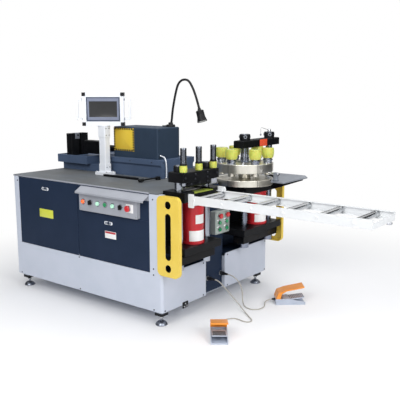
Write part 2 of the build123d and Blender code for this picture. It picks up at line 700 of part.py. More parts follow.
# Button box on the recessed end panel
BOX_FACE = X_PANEL + BOX_T
BOX_AXIS = Y_NOTCH_END - BOX_INSET
BOX_Z = Z_TOP - BOX_DROP
box_face = Plane(origin=(BOX_FACE, BOX_AXIS, BOX_Z), x_dir=(0, 1, 0), z_dir=(1, 0, 0))
box_rows = (BOX_ROW_PITCH, 0.0, -BOX_ROW_PITCH)
box_columns = (-BOX_COLUMN_PITCH / 2, BOX_COLUMN_PITCH / 2)
box_places = [(column, row) for row in box_rows for column in box_columns]
with BuildPart() as button_box:
    with BuildSketch(box_face):
        RectangleRounded(BOX_W, BOX_H, BOX_R)
    extrude(amount=-BOX_T)
    fillet(button_box.faces().sort_by(Axis.X)[-1].edges(), BOX_R / 3)
    with BuildSketch(box_face):
        with Locations(*box_places):
            Circle(BOX_BEZEL_D / 2)
    extrude(amount=BEZEL_H)
    with BuildSketch(box_face.offset(BEZEL_H)):
        with Locations(*box_places):
            Circle(STEM_D / 2 + RUN_FIT)
    extrude(amount=-BEZEL_H - STEM_L - BUTTON_TRAVEL, mode=Mode.SUBTRACT)
    with BuildSketch(box_face.offset(BEZEL_H)):
        with Locations(*box_places[2:]):
            Circle(BOX_BUTTON_D / 2 + FREE_FIT)
    extrude(amount=-BEZEL_H, mode=Mode.SUBTRACT)
nodes["button_box"] = button_box

for name, (column, row) in (("box_stop_left", box_places[0]), ("box_stop_right", box_places[1])):
    with BuildPart() as box_stop:
        with Locations(Location((BOX_FACE + BEZEL_H, BOX_AXIS + column, BOX_Z + row), (0, 90, 0))):
            add(box_stop_cap)
    nodes[name] = box_stop
for index, (column, row) in enumerate(box_places[2:]):
    cap_y = BOX_AXIS + column
    cap_z = BOX_Z + row
    with BuildPart() as box_button:
        along_x(BOX_FACE + BUTTON_TRAVEL + FREE_FIT, BOX_FACE + BUTTON_TRAVEL + FREE_FIT + BOX_BUTTON_H,
                cap_y, cap_z, BOX_BUTTON_D)
        fillet(box_button.faces().sort_by(Axis.X)[-1].edges(), BOX_BUTTON_H / 5)
        along_x(BOX_FACE - STEM_L, BOX_FACE + BOX_BUTTON_H, cap_y, cap_z, STEM_D)
    nodes[f"box_button_{index + 1}"] = box_button

# Press frames: each a bed, an upright at the back and a deck, welded up
CUT_COLUMNS = (CUT_AXIS - CUT_PITCH / 2, CUT_AXIS + CUT_PITCH / 2)
PUNCH_COLUMNS = (TURRET_AXIS, FAR_COLUMN)
THROAT_NEAR = CUT_AXIS - THROAT_W / 2
THROAT_FAR = CUT_AXIS + THROAT_W / 2
DECK_LEFT = X_LEFT + TABLE_L + TABLE_GAP
CHEEK_TOP = CUT_SLAB_TOP + CUT_CHEEK_H
ARM_NEAR = FAR_COLUMN - ARM_W - ARM_FAR
ARM_TOP = DIE_TOP + FREE_FIT
with BuildPart() as press_frames:
    block(X_BAY, X_FACE, CUT_NEAR, CUT_FAR, BED_Z, BED_TOP)
    block(X_BAY, X_BAY + UPRIGHT_T, CUT_NEAR, CUT_FAR, BED_TOP, CUT_DECK_Z)
    block(X_BAY, X_FACE, CUT_NEAR, CUT_FAR, CUT_DECK_Z, CUT_SLAB_TOP)
    block(DECK_LEFT, X_FACE, CUT_NEAR, CUT_FAR, CUT_SLAB_TOP, CHEEK_TOP)
    block(DECK_LEFT, X_FACE, THROAT_NEAR, THROAT_FAR, Z_TABLE, CHEEK_TOP, Mode.SUBTRACT)
    block(UNIT_X - BLADE_T, UNIT_X + BLADE_T + PASS_RISE, THROAT_NEAR, THROAT_FAR,
          PASS_Z - BLADE_DEPTH, Z_TABLE, Mode.SUBTRACT)
    block(X_FACE - PAD_L, X_FACE, THROAT_NEAR, THROAT_FAR, Z_TABLE, PASS_Z)
    block(X_BAY, X_FACE, PUNCH_NEAR, PUNCH_FAR, BED_Z, BED_TOP)
    block(X_BAY, X_BAY + UPRIGHT_T, PUNCH_NEAR, PUNCH_FAR, BED_TOP, PUNCH_DECK_Z)
    block(X_BAY, UNIT_X + PUNCH_DECK_FRONT, PUNCH_NEAR, PUNCH_FAR, PUNCH_DECK_Z, PUNCH_DECK_TOP)
    with BuildSketch(Plane.XZ.offset(-ARM_NEAR)):
        with BuildLine():
            Polyline((UNIT_X + PUNCH_DECK_FRONT - PUNCH_DECK_T, PUNCH_DECK_TOP),
                     (UNIT_X + PUNCH_DECK_FRONT, PUNCH_DECK_Z),
                     (UNIT_X + PUNCH_DECK_FRONT + ARM_L, ARM_TOP - PUNCH_DECK_T / 2),
                     (UNIT_X + PUNCH_DECK_FRONT + ARM_L, ARM_TOP),
                     (UNIT_X + PUNCH_DECK_FRONT - PUNCH_DECK_T, ARM_TOP), close=True)
        make_face()
    extrude(amount=-ARM_W)
    for y in CUT_COLUMNS:
        upright_bar(UNIT_X, y, BED_Z, BED_TOP, CUT_COLUMN_D + 2 * FREE_FIT, Mode.SUBTRACT)
        upright_bar(UNIT_X, y, CUT_DECK_Z, CHEEK_TOP, CUT_COLUMN_D + 2 * RUN_FIT, Mode.SUBTRACT)
    for y in PUNCH_COLUMNS:
        upright_bar(UNIT_X, y, BED_Z, BED_TOP, PUNCH_COLUMN_D + 2 * FREE_FIT, Mode.SUBTRACT)
        upright_bar(UNIT_X, y, PUNCH_DECK_Z, PUNCH_DECK_TOP, PUNCH_COLUMN_D + 2 * RUN_FIT, Mode.SUBTRACT)
    for y in (CUT_AXIS, PUNCH_AXIS):
        upright_bar(UNIT_X, y, BED_Z, BED_TOP, RAM_D + 2 * FREE_FIT, Mode.SUBTRACT)
    upright_bar(UNIT_X, PUNCH_AXIS, PUNCH_DECK_TOP - PUNCH_DECK_T / 2, PUNCH_DECK_TOP,
                DIE_HOLE_D + CROSSHEAD_H / 5, Mode.SUBTRACT)
nodes["press_frames"] = press_frames

# Lower blade, bolted in its pocket across the throat
with BuildPart() as lower_blade:
    block(UNIT_X - BLADE_T, UNIT_X - SHEAR_GAP, THROAT_NEAR, THROAT_FAR, PASS_Z - BLADE_DEPTH, PASS_Z)
nodes["lower_blade"] = lower_blade

# Press cylinders: red barrels with end rings and a bore for the ram
with BuildPart() as press_cylinders:
    for y, top, stroke in ((CUT_AXIS, CUT_DECK_Z, CUT_STROKE), (PUNCH_AXIS, PUNCH_DECK_Z, PUNCH_STROKE)):
        upright_bar(UNIT_X, y, BED_TOP, top, CYLINDER_D)
        upright_bar(UNIT_X, y, BED_TOP, BED_TOP + CYLINDER_RING_H, CYLINDER_RING_D)
        upright_bar(UNIT_X, y, top - CYLINDER_RING_H, top, CYLINDER_RING_D)
        upright_bar(UNIT_X, y, BED_TOP, BED_TOP + 2 * RAM_D, RAM_D + 2 * RUN_FIT, Mode.SUBTRACT)
nodes["press_cylinders"] = press_cylinders

# Cutting unit: beam and crosshead, tied by two columns
POST_PLACES = [(UNIT_X + POST_OUT, CUT_AXIS + POST_PITCH * step) for step in (-1, 0, 1)]
with BuildPart() as cut_beam:
    block(UNIT_X - CUT_BEAM_BACK, UNIT_X + CUT_BEAM_FRONT, CUT_AXIS - CUT_BEAM_W / 2,
          CUT_AXIS + CUT_BEAM_W / 2, CUT_BEAM_Z, CUT_BEAM_TOP)
    chamfer(cut_beam.faces().sort_by(Axis.Z)[-1].edges(), BEAM_EDGE)
    for x, y in POST_PLACES:
        upright_bar(x, y, CUT_BEAM_Z, CUT_BEAM_TOP, POST_ROD_D + 2 * FREE_FIT, Mode.SUBTRACT)
    block(UNIT_X - CROSSHEAD_W / 2, UNIT_X + CROSSHEAD_W / 2, CUT_AXIS - CUT_BEAM_W / 2,
          CUT_AXIS + CUT_BEAM_W / 2, CROSSHEAD_Z, CROSSHEAD_TOP)
    for y in CUT_COLUMNS:
        upright_bar(UNIT_X, y, CROSSHEAD_Z, CUT_BEAM_TOP, CUT_COLUMN_D + 2 * RUN_FIT, Mode.SUBTRACT)
nodes["cut_beam"] = cut_beam

with BuildPart() as cut_rods:
    for y in CUT_COLUMNS:
        upright_bar(UNIT_X, y, CROSSHEAD_Z, CUT_BEAM_TOP + CUT_NUT_H, CUT_COLUMN_D)
        upright_bar(UNIT_X, y, CUT_BEAM_TOP, CUT_BEAM_TOP + CUT_NUT_H, CUT_NUT_D)
        upright_bar(UNIT_X, y, CROSSHEAD_Z - CUT_NUT_H, CROSSHEAD_Z, CUT_NUT_D)
    upright_bar(UNIT_X, CUT_AXIS, CROSSHEAD_TOP, BED_TOP + 2 * RAM_D - FREE_FIT, RAM_D)
    for x, y in POST_PLACES:
        upright_bar(x, y, CUT_BEAM_Z - POST_ROD_D, CUT_BEAM_TOP + CUT_SPRING_H, POST_ROD_D)
        upright_bar(x, y, CUT_BEAM_Z - POST_ROD_D, CUT_BEAM_Z, POST_D)
        upright_bar(x, y, CUT_BEAM_TOP + CUT_SPRING_H, CUT_BEAM_TOP + CUT_SPRING_H + POST_H, POST_D)
nodes["cut_rods"] = cut_rods

with BuildPart() as cut_springs:
    for x, y in POST_PLACES:
        upright_bar(x, y, CUT_BEAM_TOP, CUT_BEAM_TOP + CUT_SPRING_H, CUT_SPRING_D)
        upright_bar(x, y, CUT_BEAM_TOP, CUT_BEAM_TOP + CUT_SPRING_H,
                    POST_ROD_D + 2 * FREE_FIT, Mode.SUBTRACT)
nodes["cut_springs"] = cut_springs

# Upper blade: hangs from the beam, its edge raked for a progressive cut
with BuildPart() as upper_blade:
    with BuildSketch(Plane.YZ.offset(UNIT_X)):
        with BuildLine():
            Polyline((THROAT_NEAR + FREE_FIT * 4, CUT_BEAM_Z), (THROAT_NEAR + FREE_FIT * 4, BLADE_TIP),
                     (THROAT_FAR - FREE_FIT * 4, BLADE_TIP + BLADE_SLOPE),
                     (THROAT_FAR - FREE_FIT * 4, CUT_BEAM_Z), close=True)
        make_face()
    extrude(amount=BLADE_T)
nodes["upper_blade"] = upper_blade

# Punching unit: beam and crosshead, tied by two columns
with BuildPart() as punch_beam:
    block(UNIT_X - PUNCH_BEAM_W / 2, UNIT_X + PUNCH_BEAM_W / 2, TURRET_AXIS - PUNCH_BEAM_END,
          FAR_COLUMN + PUNCH_BEAM_END, PUNCH_BEAM_Z, PUNCH_BEAM_TOP)
    chamfer(punch_beam.faces().sort_by(Axis.Z)[-1].edges(), BEAM_EDGE)
    block(UNIT_X - CROSSHEAD_W / 2, UNIT_X + CROSSHEAD_W / 2, TURRET_AXIS - CROSSHEAD_END,
          FAR_COLUMN + CROSSHEAD_END, CROSSHEAD_Z, CROSSHEAD_TOP)
    for y in PUNCH_COLUMNS:
        upright_bar(UNIT_X, y, CROSSHEAD_Z, PUNCH_BEAM_TOP, PUNCH_COLUMN_D + 2 * RUN_FIT, Mode.SUBTRACT)
nodes["punch_beam"] = punch_beam

with BuildPart() as punch_rods:
    for y in PUNCH_COLUMNS:
        upright_bar(UNIT_X, y, CROSSHEAD_Z, PUNCH_BEAM_TOP + PUNCH_NUT_H, PUNCH_COLUMN_D)
        upright_bar(UNIT_X, y, PUNCH_BEAM_TOP, PUNCH_BEAM_TOP + PUNCH_NUT_H, PUNCH_NUT_D)
        upright_bar(UNIT_X, y, CROSSHEAD_Z - CUT_NUT_H, CROSSHEAD_Z, PUNCH_NUT_D)
    upright_bar(UNIT_X, PUNCH_AXIS, CROSSHEAD_TOP, BED_TOP + 2 * RAM_D - FREE_FIT, RAM_D)
nodes["punch_rods"] = punch_rods

# Turret: a die disc and a punch disc on one sleeve, turning about the near column
STATION_PLACES = [(UNIT_X + STATION_R * cos(radians(90 + 360 / STATIONS * step)),
                   TURRET_AXIS + STATION_R * sin(radians(90 + 360 / STATIONS * step)))
                  for step in range(STATIONS)]
with BuildPart() as die_disc:
    upright_bar(UNIT_X, TURRET_AXIS, DIE_Z, DIE_TOP, DISC_D)
    chamfer(die_disc.edges().filter_by(GeomType.CIRCLE), BEAM_EDGE / 2)
    upright_bar(UNIT_X, TURRET_AXIS, PUNCH_DECK_TOP + THRUST_GAP, PUNCH_DISC_Z, SLEEVE_D)
    upright_bar(UNIT_X, TURRET_AXIS, PUNCH_DECK_TOP + THRUST_GAP, PUNCH_DISC_Z,
                PUNCH_COLUMN_D + 2 * RUN_FIT, Mode.SUBTRACT)
    for x, y in STATION_PLACES:
        upright_bar(x, y, DIE_Z, DIE_TOP, DIE_HOLE_D, Mode.SUBTRACT)
nodes["die_disc"] = die_disc

with BuildPart() as punch_disc:
    upright_bar(UNIT_X, TURRET_AXIS, PUNCH_DISC_Z, PUNCH_DISC_TOP, DISC_D)
    chamfer(punch_disc.edges().filter_by(GeomType.CIRCLE), BEAM_EDGE / 2)
    for x, y in STATION_PLACES:
        upright_bar(x, y, NOSE_Z, PUNCH_DISC_Z, NOSE_D)
        with Locations((x, y, PUNCH_DISC_TOP + SEAT_H / 2)):
            Cone(SEAT_NECK_D / 2, SEAT_D / 2, SEAT_H)
    for x, y in STATION_PLACES:
        upright_bar(x, y, PUNCH_DISC_Z, SEAT_TOP, PUNCH_STEM_D + 2 * RUN_FIT, Mode.SUBTRACT)
        upright_bar(x, y, NOSE_Z, PUNCH_DISC_Z, PUNCH_D + 2 * FREE_FIT, Mode.SUBTRACT)
    upright_bar(UNIT_X, TURRET_AXIS, PUNCH_DISC_Z, PUNCH_DISC_TOP,
                PUNCH_COLUMN_D + 2 * RUN_FIT, Mode.SUBTRACT)
nodes["punch_disc"] = punch_disc


def punch(x, y):
    """A punch at one station: tip, guided stem and the cap that presses its spring."""
    upright_bar(x, y, NOSE_Z + FREE_FIT, PUNCH_DISC_Z + PUNCH_STROKE + FREE_FIT, PUNCH_D)
    upright_bar(x, y, PUNCH_DISC_Z + PUNCH_STROKE + FREE_FIT, SPRING_TOP, PUNCH_STEM_D)
    upright_bar(x, y, SPRING_TOP, CAP_TOP, CAP_D)


def press_spring(x, y):
    """A polyurethane tube spring around a punch's stem."""
    upright_bar(x, y, SEAT_TOP, SPRING_TOP, PU_SPRING_D)
    upright_bar(x, y, SEAT_TOP, SPRING_TOP, PUNCH_STEM_D + 2 * FREE_FIT, Mode.SUBTRACT)


with BuildPart() as working_punch:
    punch(*STATION_PLACES[0])
nodes["working_punch"] = working_punch
with BuildPart() as working_spring:
    press_spring(*STATION_PLACES[0])
nodes["working_spring"] = working_spring
with BuildPart() as turret_punches:
    for x, y in STATION_PLACES[1:]:
        punch(x, y)
nodes["turret_punches"] = turret_punches
with BuildPart() as turret_springs:
    for x, y in STATION_PLACES[1:]:
        press_spring(x, y)
nodes["turret_springs"] = turret_springs

# Support plate along the turret's side, cut round its disc and carried by the punching frame's arm
with BuildPart() as support_plate:
    with BuildSketch(Plane.XY.offset(ARM_TOP)) as support_outline:
        with BuildLine():
            Polyline((UNIT_X + PLATE_NEAR_X, TURRET_AXIS - PLATE_NEAR),
                     (UNIT_X + PLATE_RIGHT, TURRET_AXIS - PLATE_NEAR),
                     (UNIT_X + PLATE_RIGHT, TURRET_AXIS + PLATE_FAR - PLATE_CUT_Y),
                     (UNIT_X + PLATE_RIGHT - PLATE_CUT_X, TURRET_AXIS + PLATE_FAR),
                     (UNIT_X + PLATE_FAR_X, TURRET_AXIS + PLATE_FAR), close=True)
        make_face()
        fillet(support_outline.vertices(), PLATE_T / 2)
        with Locations((UNIT_X, TURRET_AXIS)):
            Circle(DISC_D / 2 + PLATE_GAP, mode=Mode.SUBTRACT)
    extrude(amount=PLATE_T)
nodes["support_plate"] = support_plate

# Roller conveyor: two channel rails, end plates, a far cross piece with a clamping knob
X_OUT = X_FACE + CONVEYOR_L
ROLLER_PLACES = [X_FACE + ROLLER_FIRST + ROLLER_PITCH * index for index in range(ROLLERS)]
with BuildPart() as conveyor_frame:
    for outer, side in ((NEAR_RAIL, 1), (FAR_RAIL, -1)):
        web = outer + side * RAIL_T
        lip = outer + side * RAIL_FLANGE
        with BuildSketch(Plane.YZ.offset(X_FACE)):
            with BuildLine():
                Polyline((outer, RAIL_Z), (outer, RAIL_TOP), (lip, RAIL_TOP), (lip, RAIL_TOP - RAIL_T),
                         (web, RAIL_TOP - RAIL_T), (web, RAIL_Z + RAIL_T), (lip, RAIL_Z + RAIL_T),
                         (lip, RAIL_Z), close=True)
            make_face()
        extrude(amount=CONVEYOR_L)
        with BuildSketch(Plane.XZ.offset(-outer)):
            with Locations((X_FACE + END_PLATE_L / 2, RAIL_TOP + END_PLATE_RISE - END_PLATE_H / 2)):
                RectangleRounded(END_PLATE_L, END_PLATE_H, RAIL_T * 2)
        extrude(amount=side * RAIL_T)
    block(X_FACE, X_FACE + RAIL_T, NEAR_RAIL, FAR_RAIL, RAIL_Z - RAIL_FLANGE, RAIL_Z + CROSS_H)
    block(X_OUT - RAIL_T, X_OUT, NEAR_RAIL, FAR_RAIL, RAIL_Z, RAIL_Z + CROSS_H)
    upright_bar(X_OUT - END_KNOB_D, FAR_RAIL - RAIL_FLANGE / 2, RAIL_Z - KNOB_DROP, RAIL_Z, KNOB_STEM_D)
    upright_bar(X_OUT - END_KNOB_D, FAR_RAIL - RAIL_FLANGE / 2, RAIL_Z - KNOB_DROP,
                RAIL_Z - KNOB_DROP / 3, END_KNOB_D)
    for roller_x in ROLLER_PLACES:
        along_y(roller_x, NEAR_RAIL - RAIL_T, FAR_RAIL + RAIL_T, ROLLER_Z,
                ROLLER_PIN_D + 2 * RUN_FIT, Mode.SUBTRACT)
nodes["conveyor_frame"] = conveyor_frame

for index, roller_x in enumerate(ROLLER_PLACES):
    with BuildPart() as roller:
        along_y(roller_x, NEAR_RAIL + RAIL_T + ROLLER_END_GAP, FAR_RAIL - RAIL_T - ROLLER_END_GAP,
                ROLLER_Z, ROLLER_D)
        chamfer(roller.edges().filter_by(GeomType.CIRCLE), BEAM_EDGE / 2)
        along_y(roller_x, NEAR_RAIL, FAR_RAIL, ROLLER_Z, ROLLER_PIN_D)
    nodes[f"roller_{index + 1}"] = roller

# Bending unit: bed with a flared ledge, stepped back beside its overhanging tray
BEND_LEFT = X_LEFT + BED_X
BEND_RIGHT = BEND_LEFT + BEND_BED_L
BEND_NEAR = Y_FRONT + BEND_BED_Y
BEND_FAR = BEND_NEAR + BEND_BED_W
TRAY_NEAR = Y_FRONT + TRAY_Y
TRAY_FAR = TRAY_NEAR + TRAY_W
LEDGE_NEAR = BEND_NEAR - LEDGE_FLARE
LEDGE_FAR = BEND_FAR + LEDGE_FLARE
with BuildPart() as bend_bed:
    with BuildSketch(Plane.YZ.offset(TRAY_RIGHT)):
        with BuildLine():
            Polyline((BEND_NEAR, Z_TABLE), (BEND_NEAR, LEDGE_Z), (LEDGE_NEAR, LEDGE_Z + LEDGE_FLARE),
                     (LEDGE_NEAR, LEDGE_TOP), (LEDGE_FAR, LEDGE_TOP), (LEDGE_FAR, LEDGE_Z + LEDGE_FLARE),
                     (BEND_FAR, LEDGE_Z), (BEND_FAR, Z_TABLE), close=True)
        make_face()
    extrude(amount=BEND_RIGHT - TRAY_RIGHT)
    block(BEND_LEFT, TRAY_RIGHT, BEND_NEAR, BEND_FAR, Z_TABLE, TRAY_Z)
    block(TRAY_LEFT, TRAY_RIGHT, TRAY_NEAR, TRAY_FAR, TRAY_Z, TRAY_TOP)
    tray_corners = bend_bed.edges().filter_by(Axis.Z).group_by(Axis.X)[0]
    fillet(tray_corners, TRAY_DIP)
    block(TRAY_LEFT + TRAY_RIM, TRAY_RIGHT - TRAY_RIM, TRAY_NEAR + TRAY_RIM, TRAY_FAR - TRAY_RIM,
          TRAY_FLOOR, TRAY_TOP, Mode.SUBTRACT)
    block(TRAY_RIGHT, TRAY_RIGHT + LEDGE_STEP_L, LEDGE_NEAR, LEDGE_NEAR + LEDGE_STEP_W,
          TRAY_Z, LEDGE_TOP, Mode.SUBTRACT)
    block(BEND_LEFT + BEND_WALL, BEND_RIGHT - BEND_WALL, BEND_NEAR + BEND_WALL, BEND_FAR - BEND_WALL,
          Z_TABLE, TRAY_Z - BEND_WALL, Mode.SUBTRACT)
nodes["bend_bed"] = bend_bed

# Bending hood: a sheet box with a mouth for the ram in its left wall
HOOD_NEAR = Y_FRONT + BEND_HOOD_Y
with BuildPart() as bend_hood:
    block(BEND_HOOD_LEFT, BEND_HOOD_LEFT + BEND_HOOD_L, HOOD_NEAR, HOOD_NEAR + BEND_HOOD_W,
          LEDGE_TOP, BEND_HOOD_TOP)
    fillet(bend_hood.edges().filter_by(Axis.Z) + bend_hood.faces().sort_by(Axis.Z)[-1].edges(), BEND_HOOD_R)
    offset(amount=-SHEET, openings=bend_hood.faces().sort_by(Axis.Z)[0])
    along_x(BEND_HOOD_LEFT - SHEET, BEND_HOOD_LEFT + 2 * SHEET, RAM_AXIS_Y, RAM_AXIS_Z,
            BEND_ROD_D + 2 * BEND_HOOD_MOUTH, Mode.SUBTRACT)
nodes["bend_hood"] = bend_hood

# Die block: an upright block with a vertical slot that takes the bar's edge
with BuildPart() as die_block:
    block(X_LEFT + DIE_X, DIE_RIGHT, RAM_AXIS_Y - DIE_W / 2, RAM_AXIS_Y + DIE_W / 2,
          TRAY_FLOOR, TRAY_FLOOR + DIE_H)
    fillet(die_block.edges().filter_by(Axis.Z), BEAM_EDGE)
    block(DIE_RIGHT - DIE_SLOT_DEPTH, DIE_RIGHT, RAM_AXIS_Y - DIE_SLOT_W / 2, RAM_AXIS_Y + DIE_SLOT_W / 2,
          TRAY_FLOOR, TRAY_FLOOR + DIE_H, Mode.SUBTRACT)
nodes["die_block"] = die_block

# Bending ram: a round-nosed former on its rod
with BuildPart() as bend_ram:
    with BuildSketch(Plane.XY.offset(FORMER_Z)):
        with BuildLine():
            nose_x = FORMER_RIGHT - FORMER_L
            body_x = nose_x + FORMER_W / 2
            Line((body_x, RAM_AXIS_Y - FORMER_W / 2), (FORMER_RIGHT, RAM_AXIS_Y - FORMER_W / 2))
            Line((FORMER_RIGHT, RAM_AXIS_Y - FORMER_W / 2), (FORMER_RIGHT, RAM_AXIS_Y + FORMER_W / 2))
            Line((FORMER_RIGHT, RAM_AXIS_Y + FORMER_W / 2), (body_x, RAM_AXIS_Y + FORMER_W / 2))
            ThreePointArc((body_x, RAM_AXIS_Y + FORMER_W / 2), (nose_x, RAM_AXIS_Y),
                          (body_x, RAM_AXIS_Y - FORMER_W / 2))
        make_face()
    extrude(amount=FORMER_H)
    chamfer(bend_ram.faces().sort_by(Axis.Z)[-1].edges(), BEAM_EDGE)
    along_x(FORMER_RIGHT, FORMER_RIGHT + BEND_ROD_L, RAM_AXIS_Y, RAM_AXIS_Z, BEND_ROD_D)
nodes["bend_ram"] = bend_ram

# Gauge bar, stepped down where the stop lever swings over it, and the lever's post
PIVOT = (X_LEFT + PIVOT_X, Y_FRONT + PIVOT_Y)
with BuildPart() as gauge_bar:
    block(X_LEFT + GAUGE_X, X_LEFT + GAUGE_X + GAUGE_L, Y_FRONT + GAUGE_Y - GAUGE_W / 2,
          Y_FRONT + GAUGE_Y + GAUGE_W / 2, Z_TABLE, Z_TABLE + GAUGE_H)
    chamfer(gauge_bar.faces().sort_by(Axis.Z)[-1].edges(), GAUGE_H / 10)
    block(X_LEFT + GAUGE_X + GAUGE_L - GAUGE_STEP_L, X_LEFT + GAUGE_X + GAUGE_L,
          Y_FRONT + GAUGE_Y - GAUGE_W / 2, Y_FRONT + GAUGE_Y + GAUGE_W / 2,
          Z_TABLE + GAUGE_STEP_H, Z_TABLE + GAUGE_H, Mode.SUBTRACT)
    upright_bar(*PIVOT, Z_TABLE, Z_TABLE + PIVOT_H, PIVOT_D)
    upright_bar(*PIVOT, Z_TABLE + PIVOT_H, Z_TABLE + PIVOT_H + LEVER_HUB_H, PIVOT_PIN_D)
nodes["gauge_bar"] = gauge_bar

LEVER_Z = Z_TABLE + PIVOT_H + THRUST_GAP
LEVER_AXIS_Z = LEVER_Z + LEVER_HUB_H / 2
with BuildPart() as stop_lever:
    upright_bar(*PIVOT, LEVER_Z, LEVER_Z + LEVER_HUB_H, LEVER_HUB_D)
    along_y(PIVOT[0], PIVOT[1] - LEVER_L, PIVOT[1], LEVER_AXIS_Z, LEVER_ROD_D)
    along_y(PIVOT[0], PIVOT[1] - LEVER_L, PIVOT[1] - LEVER_L + LEVER_GRIP_L, LEVER_AXIS_Z, LEVER_GRIP_D)
    fillet(stop_lever.faces().sort_by(Axis.Y)[0].edges(), LEVER_GRIP_D / 3)
    upright_bar(*PIVOT, LEVER_Z, LEVER_Z + LEVER_HUB_H, PIVOT_PIN_D + 2 * RUN_FIT, Mode.SUBTRACT)
nodes["stop_lever"] = stop_lever

# Operator terminal: mast on a flange, with a spigot for the head
TERMINAL = (X_LEFT + TERMINAL_X, Y_FRONT + TERMINAL_Y)
MAST_TOP = Z_TABLE + MAST_H
with BuildPart() as hmi_column:
    with BuildSketch(Plane.XY.offset(Z_TABLE)):
        with Locations(TERMINAL):
            RectangleRounded(MAST_FLANGE_W, MAST_FLANGE_D, MAST_WALL_R)
    extrude(amount=MAST_FLANGE_T)
    with BuildSketch(Plane.XY.offset(Z_TABLE)):
        with Locations(TERMINAL):
            RectangleRounded(MAST_W, MAST_D, MAST_WALL_R)
    extrude(amount=MAST_TOP - Z_TABLE)
    for z, height in ((Z_TABLE + MAST_FLANGE_T, MAST_SLEEVE_H), (MAST_TOP - MAST_HEAD_H, MAST_HEAD_H)):
        with BuildSketch(Plane.XY.offset(z)):
            with Locations(TERMINAL):
                RectangleRounded(MAST_W + MAST_SLEEVE, MAST_D + MAST_SLEEVE, MAST_WALL_R)
        extrude(amount=height)
    upright_bar(*TERMINAL, MAST_TOP, MAST_TOP + MAST_PIN_H, MAST_PIN_D)
nodes["hmi_column"] = hmi_column

# Terminal head: a rounded case with a recessed screen, corner blocks and two handles
facing = radians(TERMINAL_TURN)
head_plane = Plane(origin=(*TERMINAL, MAST_TOP + SCREEN_LIFT + SCREEN_H / 2),
                   x_dir=(cos(facing), sin(facing), 0), z_dir=(sin(facing), -cos(facing), 0))
with BuildPart() as hmi_head:
    with BuildSketch(head_plane.offset(-SCREEN_T / 2)):
        RectangleRounded(SCREEN_W, SCREEN_H, SCREEN_R)
    extrude(amount=SCREEN_T)
    with BuildSketch(head_plane.offset(-SCREEN_T / 2)):
        with GridLocations(SCREEN_W - CORNER_BLOCK + 2 * CORNER_PROUD, SCREEN_H - CORNER_BLOCK, 2, 2):
            RectangleRounded(CORNER_BLOCK, CORNER_BLOCK, SCREEN_R / 2)
    extrude(amount=SCREEN_T + CORNER_PROUD)
    with BuildSketch(head_plane.offset(SCREEN_T / 2)):
        RectangleRounded(SCREEN_WINDOW_W, SCREEN_WINDOW_H, SCREEN_R)
    extrude(amount=-SCREEN_RECESS, mode=Mode.SUBTRACT)
    with BuildSketch(head_plane.offset(-HANDLE_D / 2)):
        RectangleRounded(SCREEN_W + 2 * HANDLE_REACH + HANDLE_D, HANDLE_H, HANDLE_D)
        RectangleRounded(SCREEN_W + 2 * HANDLE_REACH - HANDLE_D, HANDLE_H - 2 * HANDLE_D, HANDLE_D / 2,
                         mode=Mode.SUBTRACT)
    extrude(amount=HANDLE_D)
    upright_bar(*TERMINAL, MAST_TOP, MAST_TOP + MAST_PIN_H + FREE_FIT,
                MAST_PIN_D + 2 * RUN_FIT, Mode.SUBTRACT)
nodes["hmi_head"] = hmi_head

# Work lamp: base, gooseneck and head
LAMP = (X_LEFT + LAMP_X, Y_FRONT + LAMP_Y)
neck_foot = (LAMP[0], LAMP[1], BEND_HOOD_TOP + LAMP_BASE_H)
NECK_ROUTE = ((48, 258), (90, 360), (152, 352), (206, 262), (270, 138))
NECK_RADII = (120, 42, 60, 160)
neck_points = [neck_foot] + [(LAMP[0] + x, LAMP[1], BEND_HOOD_TOP + z) for x, z in NECK_ROUTE]
with BuildPart() as lamp:
    upright_bar(*LAMP, BEND_HOOD_TOP, BEND_HOOD_TOP + LAMP_BASE_H, LAMP_BASE_D)
    fillet(lamp.faces().sort_by(Axis.Z)[-1].edges(), LAMP_BASE_H / 3)
    with BuildLine() as neck_line:
        FilletPolyline(*neck_points, radius=NECK_RADII)
    with BuildSketch(Plane(origin=neck_line.line @ 0, z_dir=neck_line.line % 0)):
        Circle(LAMP_NECK_D / 2)
    sweep(path=neck_line.line)
    neck_tip = neck_line.line @ 1
    neck_aim = neck_line.line % 1
    with BuildSketch(Plane(origin=neck_tip - neck_aim * LAMP_NECK_D / 2, z_dir=neck_aim)):
        Circle(LAMP_HEAD_TOP_D / 2)
    with BuildSketch(Plane(origin=neck_tip + neck_aim * LAMP_HEAD_L, z_dir=neck_aim)):
        Circle(LAMP_HEAD_D / 2)
    loft()
nodes["lamp"] = lamp

